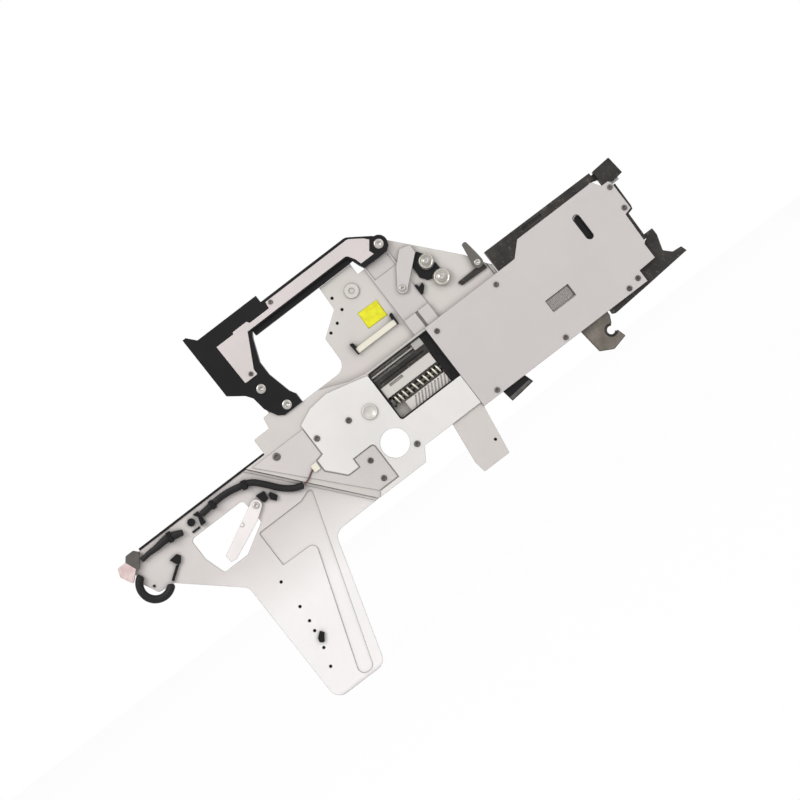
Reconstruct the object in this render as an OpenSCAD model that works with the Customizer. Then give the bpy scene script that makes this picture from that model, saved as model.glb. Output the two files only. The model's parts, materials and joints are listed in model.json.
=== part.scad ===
// Electric tape feeder for a pick and place machine, millimetres.
// +X runs to the pick-up end, +Z up, and the shown side faces -Y.
// The origin is on the base face that rests in the machine's feeder slot.

/* [Frame] */
// Thickness of the milled main frame
body_t = 16; // [15:0.5:20]
// Height of the frame's rear deck above the base face
body_h = 96; // [92:1:104]
// Thickness of the plate behind the rear and the upper section
web_t = 6; // [4:0.5:6.5]
// Thickness of the frame's walls round its drive chamber
wall = 4; // [3:0.5:5]
// Thickness of the frame's floor behind its pockets
floor_t = 3; // [2:0.5:3.5]
// Distance from the base point forward to the end of the frame
nose_x = 159; // [156:1:170]
// Distance from the base point back to the hub's seam, at its foot
seam_x = 216; // [212:1:220]
// Depth of the hub below the base face
hub_drop = 9; // [6:1:14]
// Radius of the hole through the hub
hub_bore_r = 15; // [10:0.5:15.5]

/* [Covers] */
// Thickness of the hub cover and the front cover
cover_t = 2; // [1.5:0.25:3]
// Thickness of the recessed plate behind the hub cover
inset_t = 1; // [0.5:0.25:1.25]
// Thickness of the sheet on the reverse side
back_t = 1.5; // [1:0.25:2.5]
// Length of the view slot in the front cover
view_slot_l = 28; // [16:1:34]
// Width of the view slot in the front cover
view_slot_w = 7; // [4:0.5:9]

/* [Rear plate] */
// Length of the rear plate behind the hub's seam, at its top
rear_len = 152; // [146:1:160]
// Depth of the reel leg below the base face
leg_drop = 144; // [120:1:160]
// Width of the reel leg at its foot
leg_foot = 60; // [52:1:64]
// Depth of the pocket milled into the leg
pocket_d = 1.2; // [0.5:0.1:2]
// Radius of the tapped holes down the leg
leg_hole_r = 1.6; // [1.2:0.1:2]
// Width of the second leg
stub_leg_w = 33; // [26:1:36]
// Depth of the second leg below the base face
stub_leg_drop = 52; // [40:1:70]

/* [Handle] */
// Width of the handle, across the feeder
handle_w = 20; // [18:0.5:24]
// Height of the grip's top above the rear deck
handle_rise = 122; // [118:1:130]
// Height of the grip bar
grip_h = 17; // [16:0.5:19]
// Width of the release trigger
trigger_w = 10; // [8:0.5:11]
// Radius of the trigger's pin
trigger_pin_r = 3; // [2.5:0.25:3.5]

/* [Clamp] */
// Thickness of the clamp hook
hook_t = 8; // [6:0.5:9]
// Depth of the hook below the base face
hook_drop = 34; // [30:1:40]
// Radius of the hook's mouth
mouth_r = 6.5; // [5:0.5:7]
// Radius of the hook's pivot pin
hook_pin_r = 3; // [2:0.25:3.5]
// Height of the pull rod's eye above the base face
eye_z = 30; // [26:1:34]
// Outer radius of the return spring
spring_r = 6; // [5:0.25:6]
// Radius of the spring's wire
wire_r = 1.1; // [0.8:0.1:1.3]
// Number of turns in the return spring
spring_turns = 10; // [7:1:11]

/* [Drive] */
// Number of teeth on the tape sprocket, 4 mm apart
sprocket_teeth = 36; // [32:1:36]
// Teeth on the gear behind the sprocket
gear_teeth = 40; // [36:1:40]
// Teeth on the idler gear
idler_teeth = 36; // [34:1:38]
// Teeth on the motor's pinion
pinion_teeth = 12; // [12:1:14]
// Width of the gears' teeth
gear_w = 2.5; // [2:0.25:3]
// Radius of the flat drive motor
motor_r = 15; // [12:0.5:16]
// Thickness of the drive motor
motor_t = 7; // [5:0.5:7.5]
// Radius of the gears' shafts
shaft_r = 2; // [1.5:0.25:2.5]

/* [Tape path] */
// Height of the tape guide's rail over the frame
guide_h = 8.5; // [7:0.5:12]
// Radius of the upper peel roller
upper_roller_r = 7.5; // [6:0.25:8]
// Radius of the lower peel roller
lower_roller_r = 8.5; // [7:0.25:9]
// Width of the peel rollers
roller_w = 6; // [4:0.5:6.5]
// Length of the finger lever above its pivot
finger_l = 24; // [16:1:30]
// Length of the sensing arm in the rear window
arm_l = 60; // [52:1:64]

/* [Cables] */
// Radius of the harness sleeve
sleeve_r = 3.5; // [2.5:0.25:4]
// Radius of the rear cable loop, to the middle of the cable
loop_r = 16; // [14:0.5:16.5]
// Radius of the cable in the rear loop
loop_cable_r = 4.3; // [3:0.1:4.5]

/* [Hidden] */
$fn = 48;

gap = 0.3;             // running gap between pieces that only pass each other
fit = 0.05;            // radial play of a pin in its bore
face_y = -body_t / 2;  // shown face of the main frame
back_y = body_t / 2;   // reverse face of the main frame
floor_y = back_y - floor_t;
web_y = -1;            // shown face of the thinner web
deck_z = body_h;       // rear deck
head_r = 2.8;          // pan head of a cover screw
head_t = 1.2;
tap_r = 1.5;
tap_l = 5;

// Points of an arc from angle a to angle b about [cx, cz]
function arc(cx, cz, r, a, b, n = 8) =
    [for (i = [0 : n]) [cx + r * cos(a + (b - a) * i / n), cz + r * sin(a + (b - a) * i / n)]];
function unit(v) = v / norm(v);
function wrap(a) = a > 180 ? a - 360 : a < -180 ? a + 360 : a;
// One corner of an outline, b, rounded to radius r between its neighbours a and c
function corner(a, b, c, r, n) =
    let (u = unit(a - b), w = unit(c - b), half = acos(max(-1, min(1, u * w))) / 2)
    half > 89 ? [b] :
    let (m = b + unit(u + w) * r / sin(half),
         p = b + u * r / tan(half) - m, q = b + w * r / tan(half) - m,
         s = atan2(p[1], p[0]), t = wrap(atan2(q[1], q[0]) - s))
    [for (i = [0 : n]) m + r * [cos(s + t * i / n), sin(s + t * i / n)]];
function flat(p) = [p[0], p[1]];
// An outline whose points may carry a third number, the radius of that corner
function outline(p, n = 5) =
    [for (i = [0 : len(p) - 1]) each (len(p[i]) < 3 ? [flat(p[i])]
        : corner(flat(p[(i + len(p) - 1) % len(p)]), flat(p[i]), flat(p[(i + 1) % len(p)]), p[i][2], n))];

// A flat piece with the given outline in X and Z, from y to y + t
module slab(points, y, t) {
    translate([0, y + t, 0]) rotate([90, 0, 0]) linear_extrude(t) polygon(outline(points));
}
// A round piece across the feeder, from y to y + l
module across(at, r, y, l) {
    translate([at[0], y, at[1]]) rotate([-90, 0, 0]) cylinder(r = r, h = l);
}
module block(x, z, y) {
    translate([x[0], y[0], z[0]]) cube([x[1] - x[0], y[1] - y[0], z[1] - z[0]]);
}
// A pan head screw on the shown side whose head sits on face y
module pan_screw(at, r, y, l) {
    across(at, r, y - head_t, head_t);
    across(at, tap_r - fit, y, l);
}

// ---- Places shared by the pieces -------------------------------------------
seam_lean = 88;                          // how far the seam leans back over its height
seam_top = [-seam_x - seam_lean, deck_z - 1];
seam_foot = [-seam_x, -hub_drop];
win_x = [-151, -77];                     // mechanism window
win_z = [39, deck_z - 0.5];
hub_bore = [-170, 25];
guide_seat = 112;                        // top of the frame under the tape guide
base_wall = 9;                           // the frame's wall over the base face
stub_x = [-113, -77];
slope_foot = [0, 131];                   // where the upper plate's slope ends
trigger_at = [-62, deck_z + handle_rise - 25.5];
grip_top = deck_z + handle_rise;
hook_at = [62, 13];
eye_at = [hook_at[0], eye_z];
spring_z = 58;
spring_y = -1.5;
spring_x = [win_x[0] + 5.9, win_x[1] - 10.3];
sprocket_at = [115, 86.8];
idler_dir = 200;
pinion_dir = 190;
gear_m = 1;
gear_y = face_y + 1;
idler_at = sprocket_at + gear_m * (gear_teeth + idler_teeth) / 2 * [cos(idler_dir), sin(idler_dir)];
pinion_at = idler_at + gear_m * (idler_teeth + pinion_teeth) / 2 * [cos(pinion_dir), sin(pinion_dir)];
motor_y = gear_y + gear_w + 0.5;
guide_at = [163, 111];
link_at = [-70, 143];
boss_at = [-112, 172];
plate_holes = [[-132, 178], [-131, 163], [-143, 155], [-154, 151]];
rollers_at = [[-35, 150], [-32, 128]];
finger_at = [5, 118];
arm_at = [-318, 60];
leg_x = -374;
handle_bolts = [[-243, 149], [-232, 121]];
plate_bolts = [[-183, grip_top - 6], [-242, 167]];
leg_holes = [[-345, -16], [-345, -47], [-346, -64], [-348, -75], [-351, -94], [-357, -113]];
front_bolts = [[6, 89], [-69, 88], [155, 97], [154, 72], [-57, 5], [29, 5], [109, 5], [122, 8]];
hub_bolts = [[-193, 71], [-229, 76], [-153, 11]];
inset_bolts = [[-200, 26], [-200, 4]];
deck_bolt = [-272, 86];
thumb_at = [-171, 65];
link_y = web_y - 5.5;                    // plane of the levers before the upper plate
lever_t = 3;
loop_at = [-445, 59.5];
cable_y = web_y - max(sleeve_r, loop_cable_r) - gap;

// Outline of the frame's deep part, from the seam round the nose and back
frame_rim = [
    seam_top, [-280, deck_z - 1], [-280, deck_z + 17, 2], [-261, deck_z + 17],
    [-259, deck_z + 29, 2], [-218, deck_z + 29], [-218, deck_z + 18], [-200, deck_z + 18],
    [-170, deck_z + 6], [win_x[0], deck_z + 2], [win_x[1], deck_z + 2], [36, deck_z + 2],
    [50, guide_seat], [143, guide_seat], [149, 103, 1],
    [nose_x - 2, 103, 1], [nose_x, 99], [nose_x, 68], [151, 66], [150, 33], [148, 31], [148, 14], [128, 13],
    [128, 0], [stub_x[1], 0], [stub_x[1], 5], [-148, 5], [-157, -hub_drop], seam_foot];
// The part of the rim that bounds the front section and its covers
front_rim = [
    [win_x[1], deck_z + 2], [36, deck_z + 2], [50, guide_seat], [143, guide_seat], [149, 103, 1],
    [nose_x - 2, 103, 1], [nose_x, 99], [nose_x, 68], [151, 66], [150, 33], [148, 31], [148, 14], [128, 13],
    [128, 0], [win_x[1], 0]];
chamber = [
    [win_x[1] + wall, deck_z - wall], [37, deck_z - wall], [51, guide_seat - wall],
    [142, guide_seat - wall, 2],
    [146, 96, 2], [146, 64, 2], [144, 30, 2], [142, 18, 2], [124, 15, 2], [118, base_wall, 2],
    [win_x[1] + wall, base_wall, 2]];

module main_frame() {
    color("gainsboro") difference() {
        union() {
            difference() {
                slab(frame_rim, face_y, body_t);
                slab(chamber, face_y - 1, body_t - floor_t + 1);
                block([win_x[0] + 1, win_x[1] + wall + 1], win_z, [face_y - 1, floor_y]);
            }
            upper_plate();
            handle_tongue();
            nose_ear();
            across(boss_at, 7.5, web_y - 2, web_t);
            for (i = [0, 1]) across(front_bolts[i], 4.5, face_y, body_t);
        }
        across(hub_bore, hub_bore_r, face_y - 1, body_t + 2);
        hook_slot();
        sprocket_slot();
        for (p = concat(front_bolts, hub_bolts, inset_bolts)) across(p, tap_r, face_y - 1, tap_l + 1);
        for (p = plate_holes) across(p, 1.6, web_y - 1, web_t + 2);
        for (p = [link_at, finger_at]) across(p, tap_r, web_y - 1, tap_l + 1);
        for (p = handle_bolts) across(p, tap_r, face_y - 1, web_y + web_t - face_y + 2);
        across(trigger_at, trigger_pin_r + fit, web_y - 1, web_t + 2);
        across(boss_at, 3, web_y - 3, 2);
    }
}
// The thin plate that carries the peel rollers and the handle's front end
module upper_plate() {
    t = trigger_at;
    under = grip_top - grip_h;
    slab(concat([[-200, deck_z + 1], [-200, deck_z + 18], [-163, deck_z + 18, 12], [-162, 150],
        [-137, 168, 3],
        [-136, under - 7.1], [-97, under - 7.1], [-97, t[1] - 11], [t[0] - 7, t[1] - 11]],
        arc(t[0], t[1], 6, 180, 20), [slope_foot, [12, 112], [12, deck_z + 1]]), web_y, web_t);
}
module handle_tongue() {
    slab([[-252, deck_z + 16], [-252, 138], [-248, 156, 3], [-236, 156, 3], [-226, 138],
        [-226, deck_z + 16]],
        web_y, web_t);
}
// The ear that the clevis at the nose stands on
module nose_ear() {
    slab([[140, 98], [140, 103], [168, 104], [168, 98]], -3, 6);
}
module hook_slot() {
    block([hook_at[0] - 21, hook_at[0] + 18], [-1, base_wall + 1], [-hook_t / 2 - gap, hook_t / 2 + gap]);
}
module sprocket_slot() {
    block([sprocket_at[0] - 15, sprocket_at[0] + 15], [guide_seat - wall - 1, guide_seat + 1], [-2, 2]);
}

// The plate that carries the reel, with its leg and the sensing arm's window
module rear_plate() {
    rear_x = seam_top[0] - rear_len;
    foot_x = leg_x + 2;
    color("whitesmoke") difference() {
        union() {
            slab([[rear_x, deck_z - 1, 2], seam_top, seam_foot, [-272, -hub_drop - 1, 12],
                [foot_x + leg_foot, -leg_drop, 12], [foot_x, -leg_drop, 12], [leg_x, -1, 10], [-430, 48, 2],
                [rear_x + 8, 50, 4], [rear_x, 66, 4]], web_y, web_t);
            slab([seam_top - [4, 0.5], seam_top - [0.5, 0.5], seam_foot - [0.5, 0], seam_foot - [4, 0]],
                web_y - 1, 1.5);
        }
        slab([[-333, 36, 2], [-280, 36, 4], [-263, 42, 3], [-323, -leg_drop + 4, 7],
            [-340, -leg_drop + 4, 7],
            [-293, -5, 6], [-333, -4, 1]], web_y - 1, pocket_d + 1);
        slab([[-391, 72, 4], [-326, 72, 4], [-324, 44, 4], [-355, 26, 3], [-384, 26, 3], [-391, 48, 4]],
            web_y - 3, web_t + 6);
        for (p = leg_holes) across(p, leg_hole_r, web_y - 1, web_t + 2);
        across(arm_at, tap_r, web_y - 1, tap_l + 1);
    }
}

module front_cover() {
    y = face_y - cover_t;
    view_at = [110, 81];
    half = (view_slot_l - view_slot_w) / 2;
    color("silver") difference() {
        slab(front_rim, y, cover_t);
        for (s = [-1, 1]) across(view_at + [0, s * half], view_slot_w / 2, y - 1, cover_t + 2);
        block([view_at[0] - view_slot_w / 2, view_at[0] + view_slot_w / 2],
            [view_at[1] - half, view_at[1] + half],
            [y - 1, y + cover_t + 1]);
        block([35, 63], [32, 46], [y - 1, y + cover_t / 2]);
        for (p = front_bolts) across(p, tap_r + 0.2, y - 1, cover_t + 2);
    }
}

module hub_cover() {
    y = face_y - cover_t;
    right = win_x[1] - gap;
    color("white") difference() {
        slab([[-234, deck_z], [-216, deck_z + 8], [-195, deck_z + 10], [-170, deck_z + 4],
            [win_x[0], deck_z - 1, 2], [win_x[0], win_z[0], 3], [right, win_z[0]], [right, 5], [-148, 5],
            [-157, -hub_drop], seam_foot + [2, 0], [-210, -4], [-187, -4], [-187, 38, 4], [-213, 38],
            [-213, 28], [-226, 28], [-242, 46], [-242, 58], [-234, 60]], y, cover_t);
        across(hub_bore, hub_bore_r, y - 1, cover_t + 2);
        for (p = hub_bolts) across(p, tap_r + 0.2, y - 1, cover_t + 2);
        across(thumb_at, 4, y - 1, cover_t + 2);
    }
}

// The recessed plate between the seam and the hub cover
module inset_plate() {
    color("lightgray") difference() {
        slab([seam_top + [6, -3], [-235, deck_z - 4], [-235, 61], [-243, 59], [-243, 45], [-226.5, 27],
            [-212, 27], [-212, 37], [-188, 37, 3], [-188, -3], [-211, -3]], face_y - inset_t, inset_t);
        for (p = inset_bolts) across(p, tap_r + 0.2, face_y - inset_t - 1, inset_t + 2);
    }
}

module back_cover() {
    color("silver") slab([[win_x[0], 8, 3], [win_x[0], deck_z - 4, 3], [38, deck_z - 4],
        [52, guide_seat - 4], [140, guide_seat - 4, 3], [150, 96, 3], [144, 16, 3], [124, 3, 3],
        [win_x[0] + 10, 8, 3]], back_y, back_t);
}

module stub_leg() {
    right = stub_x[1] - gap;
    foot = [right - 8 - stub_leg_w, right - 8];
    color("gainsboro") difference() {
        slab([[stub_x[0], 5], [foot[0], 13 - stub_leg_drop], [foot[0] + 2, -stub_leg_drop, 1],
            [foot[1], -stub_leg_drop, 1], [right, 0], [right, 5]], face_y, web_t);
        across([foot[1] - 3, 19 - stub_leg_drop], 1.6, face_y - 1, web_t + 2);
    }
}

module top_strip() {
    color("dimgray") block([seam_top[0] - rear_len + 18, -281], [deck_z - 1, deck_z + 1.2],
        [web_y - 1, web_y + web_t]);
}

module nose_strip() {
    color("black") slab([[nose_x, 97], [nose_x + 2.5, 97], [nose_x + 2, 70], [nose_x + 1, 66.2],
        [154.2, 64.8], [153.5, 34.5], [150.05, 34.5], [151, 66], [nose_x, 68]], face_y, body_t);
}

// The clevis at the pick-up end that the tape guide swings in
module front_block() {
    color("darkslategray") difference() {
        slab([[151, 103.3], [151, 120, 1], [172, 121.5, 1], [174, 101.5, 1], [nose_x + 3, 100],
            [nose_x - 1, 103.3]], face_y, body_t);
        block([150, 169], [105.5, 123], [-3 - gap, 3 + gap]);
        block([150, 175], [95, 105.5], [-3, 3]);
        across(guide_at, shaft_r, face_y - 1, body_t + 2);
    }
}

// The locating claw under the pick-up end
module front_claw() {
    color("dimgray") slab([[154, 39, 1], [164, 39, 1], [164, 31], [159, 15, 2], [166, 8, 2], [176, 7, 1],
        [178, 0.5], [128, -3.4], [128, 0], [128, 13], [148, 14], [148, 31], [149.4, 32.4], [154.2, 34]],
        face_y + 2, body_t - 4);
}

// The wedge the feeder slides in on
module base_rail() {
    color("dimgray") slab([[81, 0], [128, 0], [128, -3.4], [84, -6.4, 1], [81, -5]],
        face_y + 1, body_t - 2);
}

module base_connector() {
    color("dimgray") difference() {
        slab([[-53, 0], [-26, 0], [-23, -10, 1], [-40, -12], [-51, -13, 1]], face_y + 1, body_t - 2);
        for (i = [0 : 4]) block([-49 + 4.4 * i, -46.6 + 4.4 * i], [-14, -7], [face_y, back_y]);
    }
}

// The hinged rail that holds the tape down, with its nose in the clevis
module tape_guide() {
    top = guide_seat + guide_h + gap;
    color("dimgray") difference() {
        union() {
            slab([[16.5, top + 1], [147, top], [147, guide_seat + gap + 1], [141, guide_seat + gap],
                [50 - gap, guide_seat + gap], [36 - gap, deck_z + 2 + gap], [16.5, deck_z + 2 + gap]],
                face_y - 1, body_t + 2);
            slab(concat([[140, top - 3]], [[140, guide_seat + 1.5], [guide_at[0], guide_at[1] - 5]],
                arc(guide_at[0], guide_at[1], 5, -80, 80), [[guide_at[0] - 6, top - 3]]), -3, 6);
        }
        across(guide_at, shaft_r + fit, -4, 8);
        block([60, 84], [guide_seat + 3, guide_seat + 6.5], [face_y - 2, face_y + 1]);
        block([sprocket_at[0] - 14, sprocket_at[0] + 14], [guide_seat - 1, guide_seat + 3], [-2.5, 2.5]);
    }
}

module guide_pin() {
    color("silver") across(guide_at, shaft_r, face_y - 0.6, body_t + 1.2);
}

// ---- Handle -----------------------------------------------------------------
module handle_body() {
    g = grip_top;
    t = trigger_at;
    under = g - grip_h;
    color([0.12, 0.11, 0.12]) difference() {
        union() {
            slab([[-276, g + 17], [-272, g + 17], [-264, g + 8], [-191, g + 8], [-191, g], [-85, g, 10],
                [t[0] - 1, t[1] + 10.5], [t[0] + 9, t[1] + 1], [t[0] + 7, t[1] - 7],
                [t[0] + 2, t[1] - 10.5],
                [-88, t[1] - 10.5, 2], [-91, t[1] - 4], [-95, under, 4], [-215, under], [-219, under - 7],
                [-228, 171], [-228, 156], [-222, 131], [-218, 124], [-218, deck_z + 18],
                [-240, deck_z + 18],
                [-246, 118, 3], [-253, 131, 4], [-255, 146, 3], [-260, 153], [-275, 164, 2]],
                -handle_w / 2, handle_w);
            across(t, 9, -handle_w / 2, handle_w);
        }
        handle_recess();
        trigger_room();
        slab([[-252 - gap, deck_z + 10], [-252 - gap, 138 + gap], [-248 - gap, 156 + gap, 3],
            [-236 + gap, 156 + gap, 3], [-226 + gap, 138], [-226 + gap, deck_z + 10]],
            web_y - fit, web_t + 2 * fit);
        slab([[-262, deck_z + 10], [-259 - fit, deck_z + 29 + fit], [-217, deck_z + 29 + fit],
            [-217, deck_z + 10]], face_y - fit, body_t + 2 * fit);
        block([t[0] - 8, t[0] + 12], [t[1] - 12, t[1] + 2], [web_y - fit, web_y + web_t + fit]);
        for (p = handle_bolts) across(p, tap_r + 0.2, -handle_w, handle_w);
        for (p = plate_bolts) across(p, tap_r, -handle_w / 2 + 1, tap_l + 1);
        across(t, trigger_pin_r, -handle_w, 2 * handle_w);
    }
}
plate_rim = [
    [-253, grip_top - 9], [-232, grip_top - 9], [-231, grip_top - 7], [-214, grip_top - 7],
    [-212, grip_top - 10],
    [-188, grip_top - 10], [-187, grip_top - 3], [-84, grip_top - 3, 8], [-71, grip_top - 12],
    [-67, trigger_at[1] + 9], [-74, trigger_at[1]], [-72, trigger_at[1] - 5], [-88, trigger_at[1] - 5, 1],
    [-90, trigger_at[1] + 2], [-95, grip_top - grip_h + 1.5, 4], [-219, grip_top - grip_h + 1.5],
    [-237, 169], [-237, 163, 1], [-252, 163, 1]];
module handle_recess() {
    slab(plate_rim, -handle_w / 2 - 1, cover_t + 1);
}
// The channel inside the grip that the trigger rises into
module trigger_room() {
    half = trigger_w / 2 + gap;
    slab([[-216, grip_top - grip_h - 8], [-216, grip_top - 5], [-88, grip_top - 5, 3],
        [trigger_at[0] - 8, trigger_at[1] + 8], [trigger_at[0] - 1, trigger_at[1] + 7.4],
        [trigger_at[0], trigger_at[1] - 8],
        [trigger_at[0] - 8, trigger_at[1] - 8.3], [-90, trigger_at[1] - 4], [-92, grip_top - grip_h - 8]],
        -half, 2 * half);
    across(trigger_at, 6.5, -half, 2 * half);
}

module handle_plate() {
    color("lightgray") difference() {
        slab(plate_rim, -handle_w / 2, cover_t);
        for (p = plate_bolts) across(p, tap_r + 0.2, -handle_w, handle_w);
    }
}

module release_trigger() {
    under = grip_top - grip_h;
    t = trigger_at;
    color([0.1, 0.1, 0.1]) difference() {
        union() {
            slab([[-215, under - 6.5, 1], [-215, under + 3, 1], [-96, under + 3], [-88, t[1] + 7],
                [t[0], t[1] + 5.5],
                [t[0] - 2, t[1] - 5], [-86, t[1] + 3], [-97, under - 6.5]], -trigger_w / 2, trigger_w);
            across(t, 6, -trigger_w / 2, trigger_w);
        }
        across(t, trigger_pin_r + fit, -trigger_w, 2 * trigger_w);
        block([-96.6, t[0] + 10], [t[1] - 10, t[1] + 12], [web_y - gap, trigger_w]);
    }
}

module trigger_pin() {
    color("silver") union() {
        across(trigger_at, trigger_pin_r, -handle_w / 2, handle_w);
        difference() {
            across(trigger_at, trigger_pin_r + 2, -handle_w / 2 - 1, 1);
            across(trigger_at, 1.8, -handle_w / 2 - 1.5, 1);
        }
    }
}

module handle_screws() {
    color("silver") for (p = handle_bolts) {
        across(p, 5, -handle_w / 2 - 1.5, 1.5);
        across(p, tap_r - fit, -handle_w / 2, handle_w / 2 + web_y + web_t);
    }
    color("silver") for (p = plate_bolts) pan_screw(p, 2.4, -handle_w / 2, 5);
}

// ---- Clamp -------------------------------------------------------------------
module clamp_hook() {
    m = [70, -hook_drop + 17];
    color("darkkhaki") difference() {
        union() {
            slab([[hook_at[0] - 17, base_wall - 4, 2], [45, 0], [48, 7 - hook_drop, 2], [61, -hook_drop, 2],
                [78, 4 - hook_drop, 1], [75, 14.5 - hook_drop, 1], [m[0], m[1] - 3], [m[0], m[1] + 3],
                [74.5, m[1] + 5.5, 1], [78, -4, 2], [78, 3, 2], [hook_at[0] + 10, 20, 4],
                [hook_at[0] - 8, 20, 4]],
                -hook_t / 2, hook_t);
            slab([[eye_at[0] - 5, 16], [eye_at[0] - 5, eye_z + 5, 4], [eye_at[0] + 5, eye_z + 5, 4],
                [eye_at[0] + 5, 16]], -hook_t / 2, hook_t / 2 - gap);
            across(eye_at, 2, -hook_t / 2, hook_t / 2 + 3.6);
        }
        across(m, mouth_r, -hook_t, 2 * hook_t);
        across(hook_at, hook_pin_r + fit, -hook_t, 2 * hook_t);
    }
}

module hook_pin() {
    color("silver") across(hook_at, hook_pin_r, face_y, body_t - floor_t);
}

// The rod inside the return spring, with the flat bar that works the hook
module pull_rod() {
    bar = [0, 3];
    color("silver") difference() {
        union() {
            translate([spring_x[0] - 3, spring_y, spring_z]) rotate([0, 90, 0]) cylinder(r = 2.6, h = 90);
            translate([spring_x[0] - 3, spring_y, spring_z]) rotate([0, 90,
                0]) cylinder(r = spring_r - 0.5, h = 2.7);
            slab([[-68, spring_z - 2.6], [-68, spring_z + 2.6], [-60, spring_z + 2.6], [-18, eye_z + 5],
                [eye_at[0] + 6, eye_z + 5, 2], [eye_at[0] + 6, eye_z - 7, 2], [eye_at[0] - 8, eye_z - 7, 2],
                [eye_at[0] - 14, eye_z - 2], [-20, eye_z - 2], [-61, spring_z - 2.6]], bar[0],
                bar[1] - bar[0]);
        }
        block([eye_at[0] - 2 - gap, eye_at[0] + 2 + gap], [eye_z - 4, eye_z + 3], [-1, 5]);
    }
}

// The coil, swept as stacked rings joined along its helix
module return_spring() {
    rings = spring_turns * 12;
    pitch = (spring_x[1] - spring_x[0] - 2 * wire_r) / spring_turns;
    mid = spring_r - wire_r;
    pts = [for (i = [0 : rings], j = [0 : 5])
        let (a = 30 * i, b = 60 * j, r = mid + wire_r * cos(b))
        [spring_x[0] + wire_r + pitch * i / 12 + wire_r * sin(b), spring_y + r * cos(a),
        spring_z + r * sin(a)]];
    ends = [[for (j = [0 : 5]) j], [for (j = [5 : -1 : 0]) rings * 6 + j]];
    sides = [for (i = [0 : rings - 1], j = [0 : 5])
        let (k = (j + 1) % 6) [i * 6 + j, (i + 1) * 6 + j, (i + 1) * 6 + k, i * 6 + k]];
    color("silver") polyhedron(points = pts, faces = concat(ends, sides));
}

module guide_rod() {
    z = deck_z - 6;
    color("white") translate([win_x[0] + 1, spring_y, z]) rotate([0, 90, 0]) cylinder(r = 2, h = 52);
    color("gray") block([win_x[0] + 53, win_x[1] - 10], [z - 4, z + 5], [face_y + 1, floor_y]);
}

module window_rail() {
    z = [deck_z - 19.5, deck_z - 10.5];
    color([0.2, 0.19, 0.2]) difference() {
        block([win_x[0] + 1, win_x[1] - 10], z, [face_y + 1, floor_y]);
        block([win_x[0] + 5, win_x[1] - 14], [z[0] + 3.4, z[0] + 5], [face_y, face_y + 3]);
    }
}

module spring_plate() {
    z = [spring_z + spring_r + 0.3, deck_z - 19.5];
    color("gainsboro") difference() {
        block([win_x[0] + 2, win_x[1] - 11], z, [face_y + 1.5, floor_y]);
        block([win_x[0] + 12, win_x[0] + 28], [z[1] - 4, z[1] - 1.5], [face_y, face_y + 4]);
    }
}

module ribbed_plate() {
    color("gainsboro") difference() {
        block([win_x[0] + 14, win_x[1] - 11], [win_z[0], spring_z - spring_r - gap], [face_y + 2, floor_y]);
        for (i = [0 : 10]) translate([win_x[0] + 18 + 4 * i, face_y + 1, win_z[0] - 2]) rotate([0, 30, 0])
            cube([1.2, 1.8, 16]);
    }
}

module window_clip() {
    x = win_x[1] - 10;
    color("black") difference() {
        block([x, x + 9], [win_z[0], deck_z - 1], [face_y + 1, floor_y]);
        translate([x - 1, spring_y, spring_z]) rotate([0, 90, 0]) cylinder(r = 3.2, h = 12);
        for (z = [win_z[0] + 5, win_z[0] + 28, win_z[0] + 46]) block([x + 3, x + 6], [z, z + 6],
            [face_y, face_y + 2]);
    }
}

// ---- Upper plate --------------------------------------------------------------
module upper_bracket() {
    color("silver") difference() {
        union() {
            block([-89, -59], [116, 182], [web_y - 2, web_y]);
            block([-89, -75], [deck_z + 2, 116], [web_y - 5, web_y]);
            block([-72, -59], [deck_z + 2, 116], [web_y - 5, web_y]);
        }
        block([-87, -61], [166, 181], [web_y - 3, web_y - 1]);
        across(link_at, tap_r + 0.2, web_y - 3, 4);
    }
}

module link_lever() {
    a = link_at;
    color("silver") difference() {
        slab(concat(arc(a[0], a[1], 5.5, 150, 330, 10), [a + [32, 21, 2], a + [32, 30, 3], a + [21, 33, 4],
            a + [8, 21, 8]]), link_y, lever_t);
        across(a, shaft_r + fit, link_y - 1, lever_t + 2);
    }
}

module link_screw() {
    color("gray") {
        across(link_at, 3.4, link_y - head_t, head_t);
        across(link_at, shaft_r, link_y, web_y - 2 - link_y);
        across(link_at, tap_r - fit, web_y - 2, tap_l + 1);
    }
}

module roller_bracket() {
    c = rollers_at;
    color("black") difference() {
        slab([[-37, 164, 1], [-49, 156], [-50, 141], [-45, 134, 2], [-38, 132], [-28, 136], [-28, 145, 2],
            [-37, 144, 2], [-42, 150, 3], [-33, 158, 1]], web_y - 2.2, 2.2);
        for (i = [0, 1]) across(c[i], (i == 0 ? upper_roller_r : lower_roller_r) + 0.8, web_y - 3, 4);
    }
    color("black") for (p = c) {
        across(p, shaft_r + 1, web_y - 0.4, 0.4);
        across(p, shaft_r, web_y - 8.6, 8.6);
    }
    color("black") slab([[-59, 138], [-57, 138], [-56, 134], [-51, 136], [-51, 132], [-57, 126],
        [-59, 127]],
        web_y - 4, 4);
}

module peel_roller(at, r) {
    y = web_y - 1.2 - roller_w;
    difference() {
        union() {
            across(at, r, y, roller_w);
            across(at, r * 0.55, y - 0.6, roller_w + 0.6);
        }
        across(at, shaft_r + fit, y - 2, roller_w + 4);
        for (a = [0 : 60 : 300]) across(at + 0.74 * r * [cos(a), sin(a)], 0.11 * r, y - 1, 2);
    }
}
module upper_roller() { color("silver") peel_roller(rollers_at[0], upper_roller_r); }
module lower_roller() { color("silver") peel_roller(rollers_at[1], lower_roller_r); }

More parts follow.
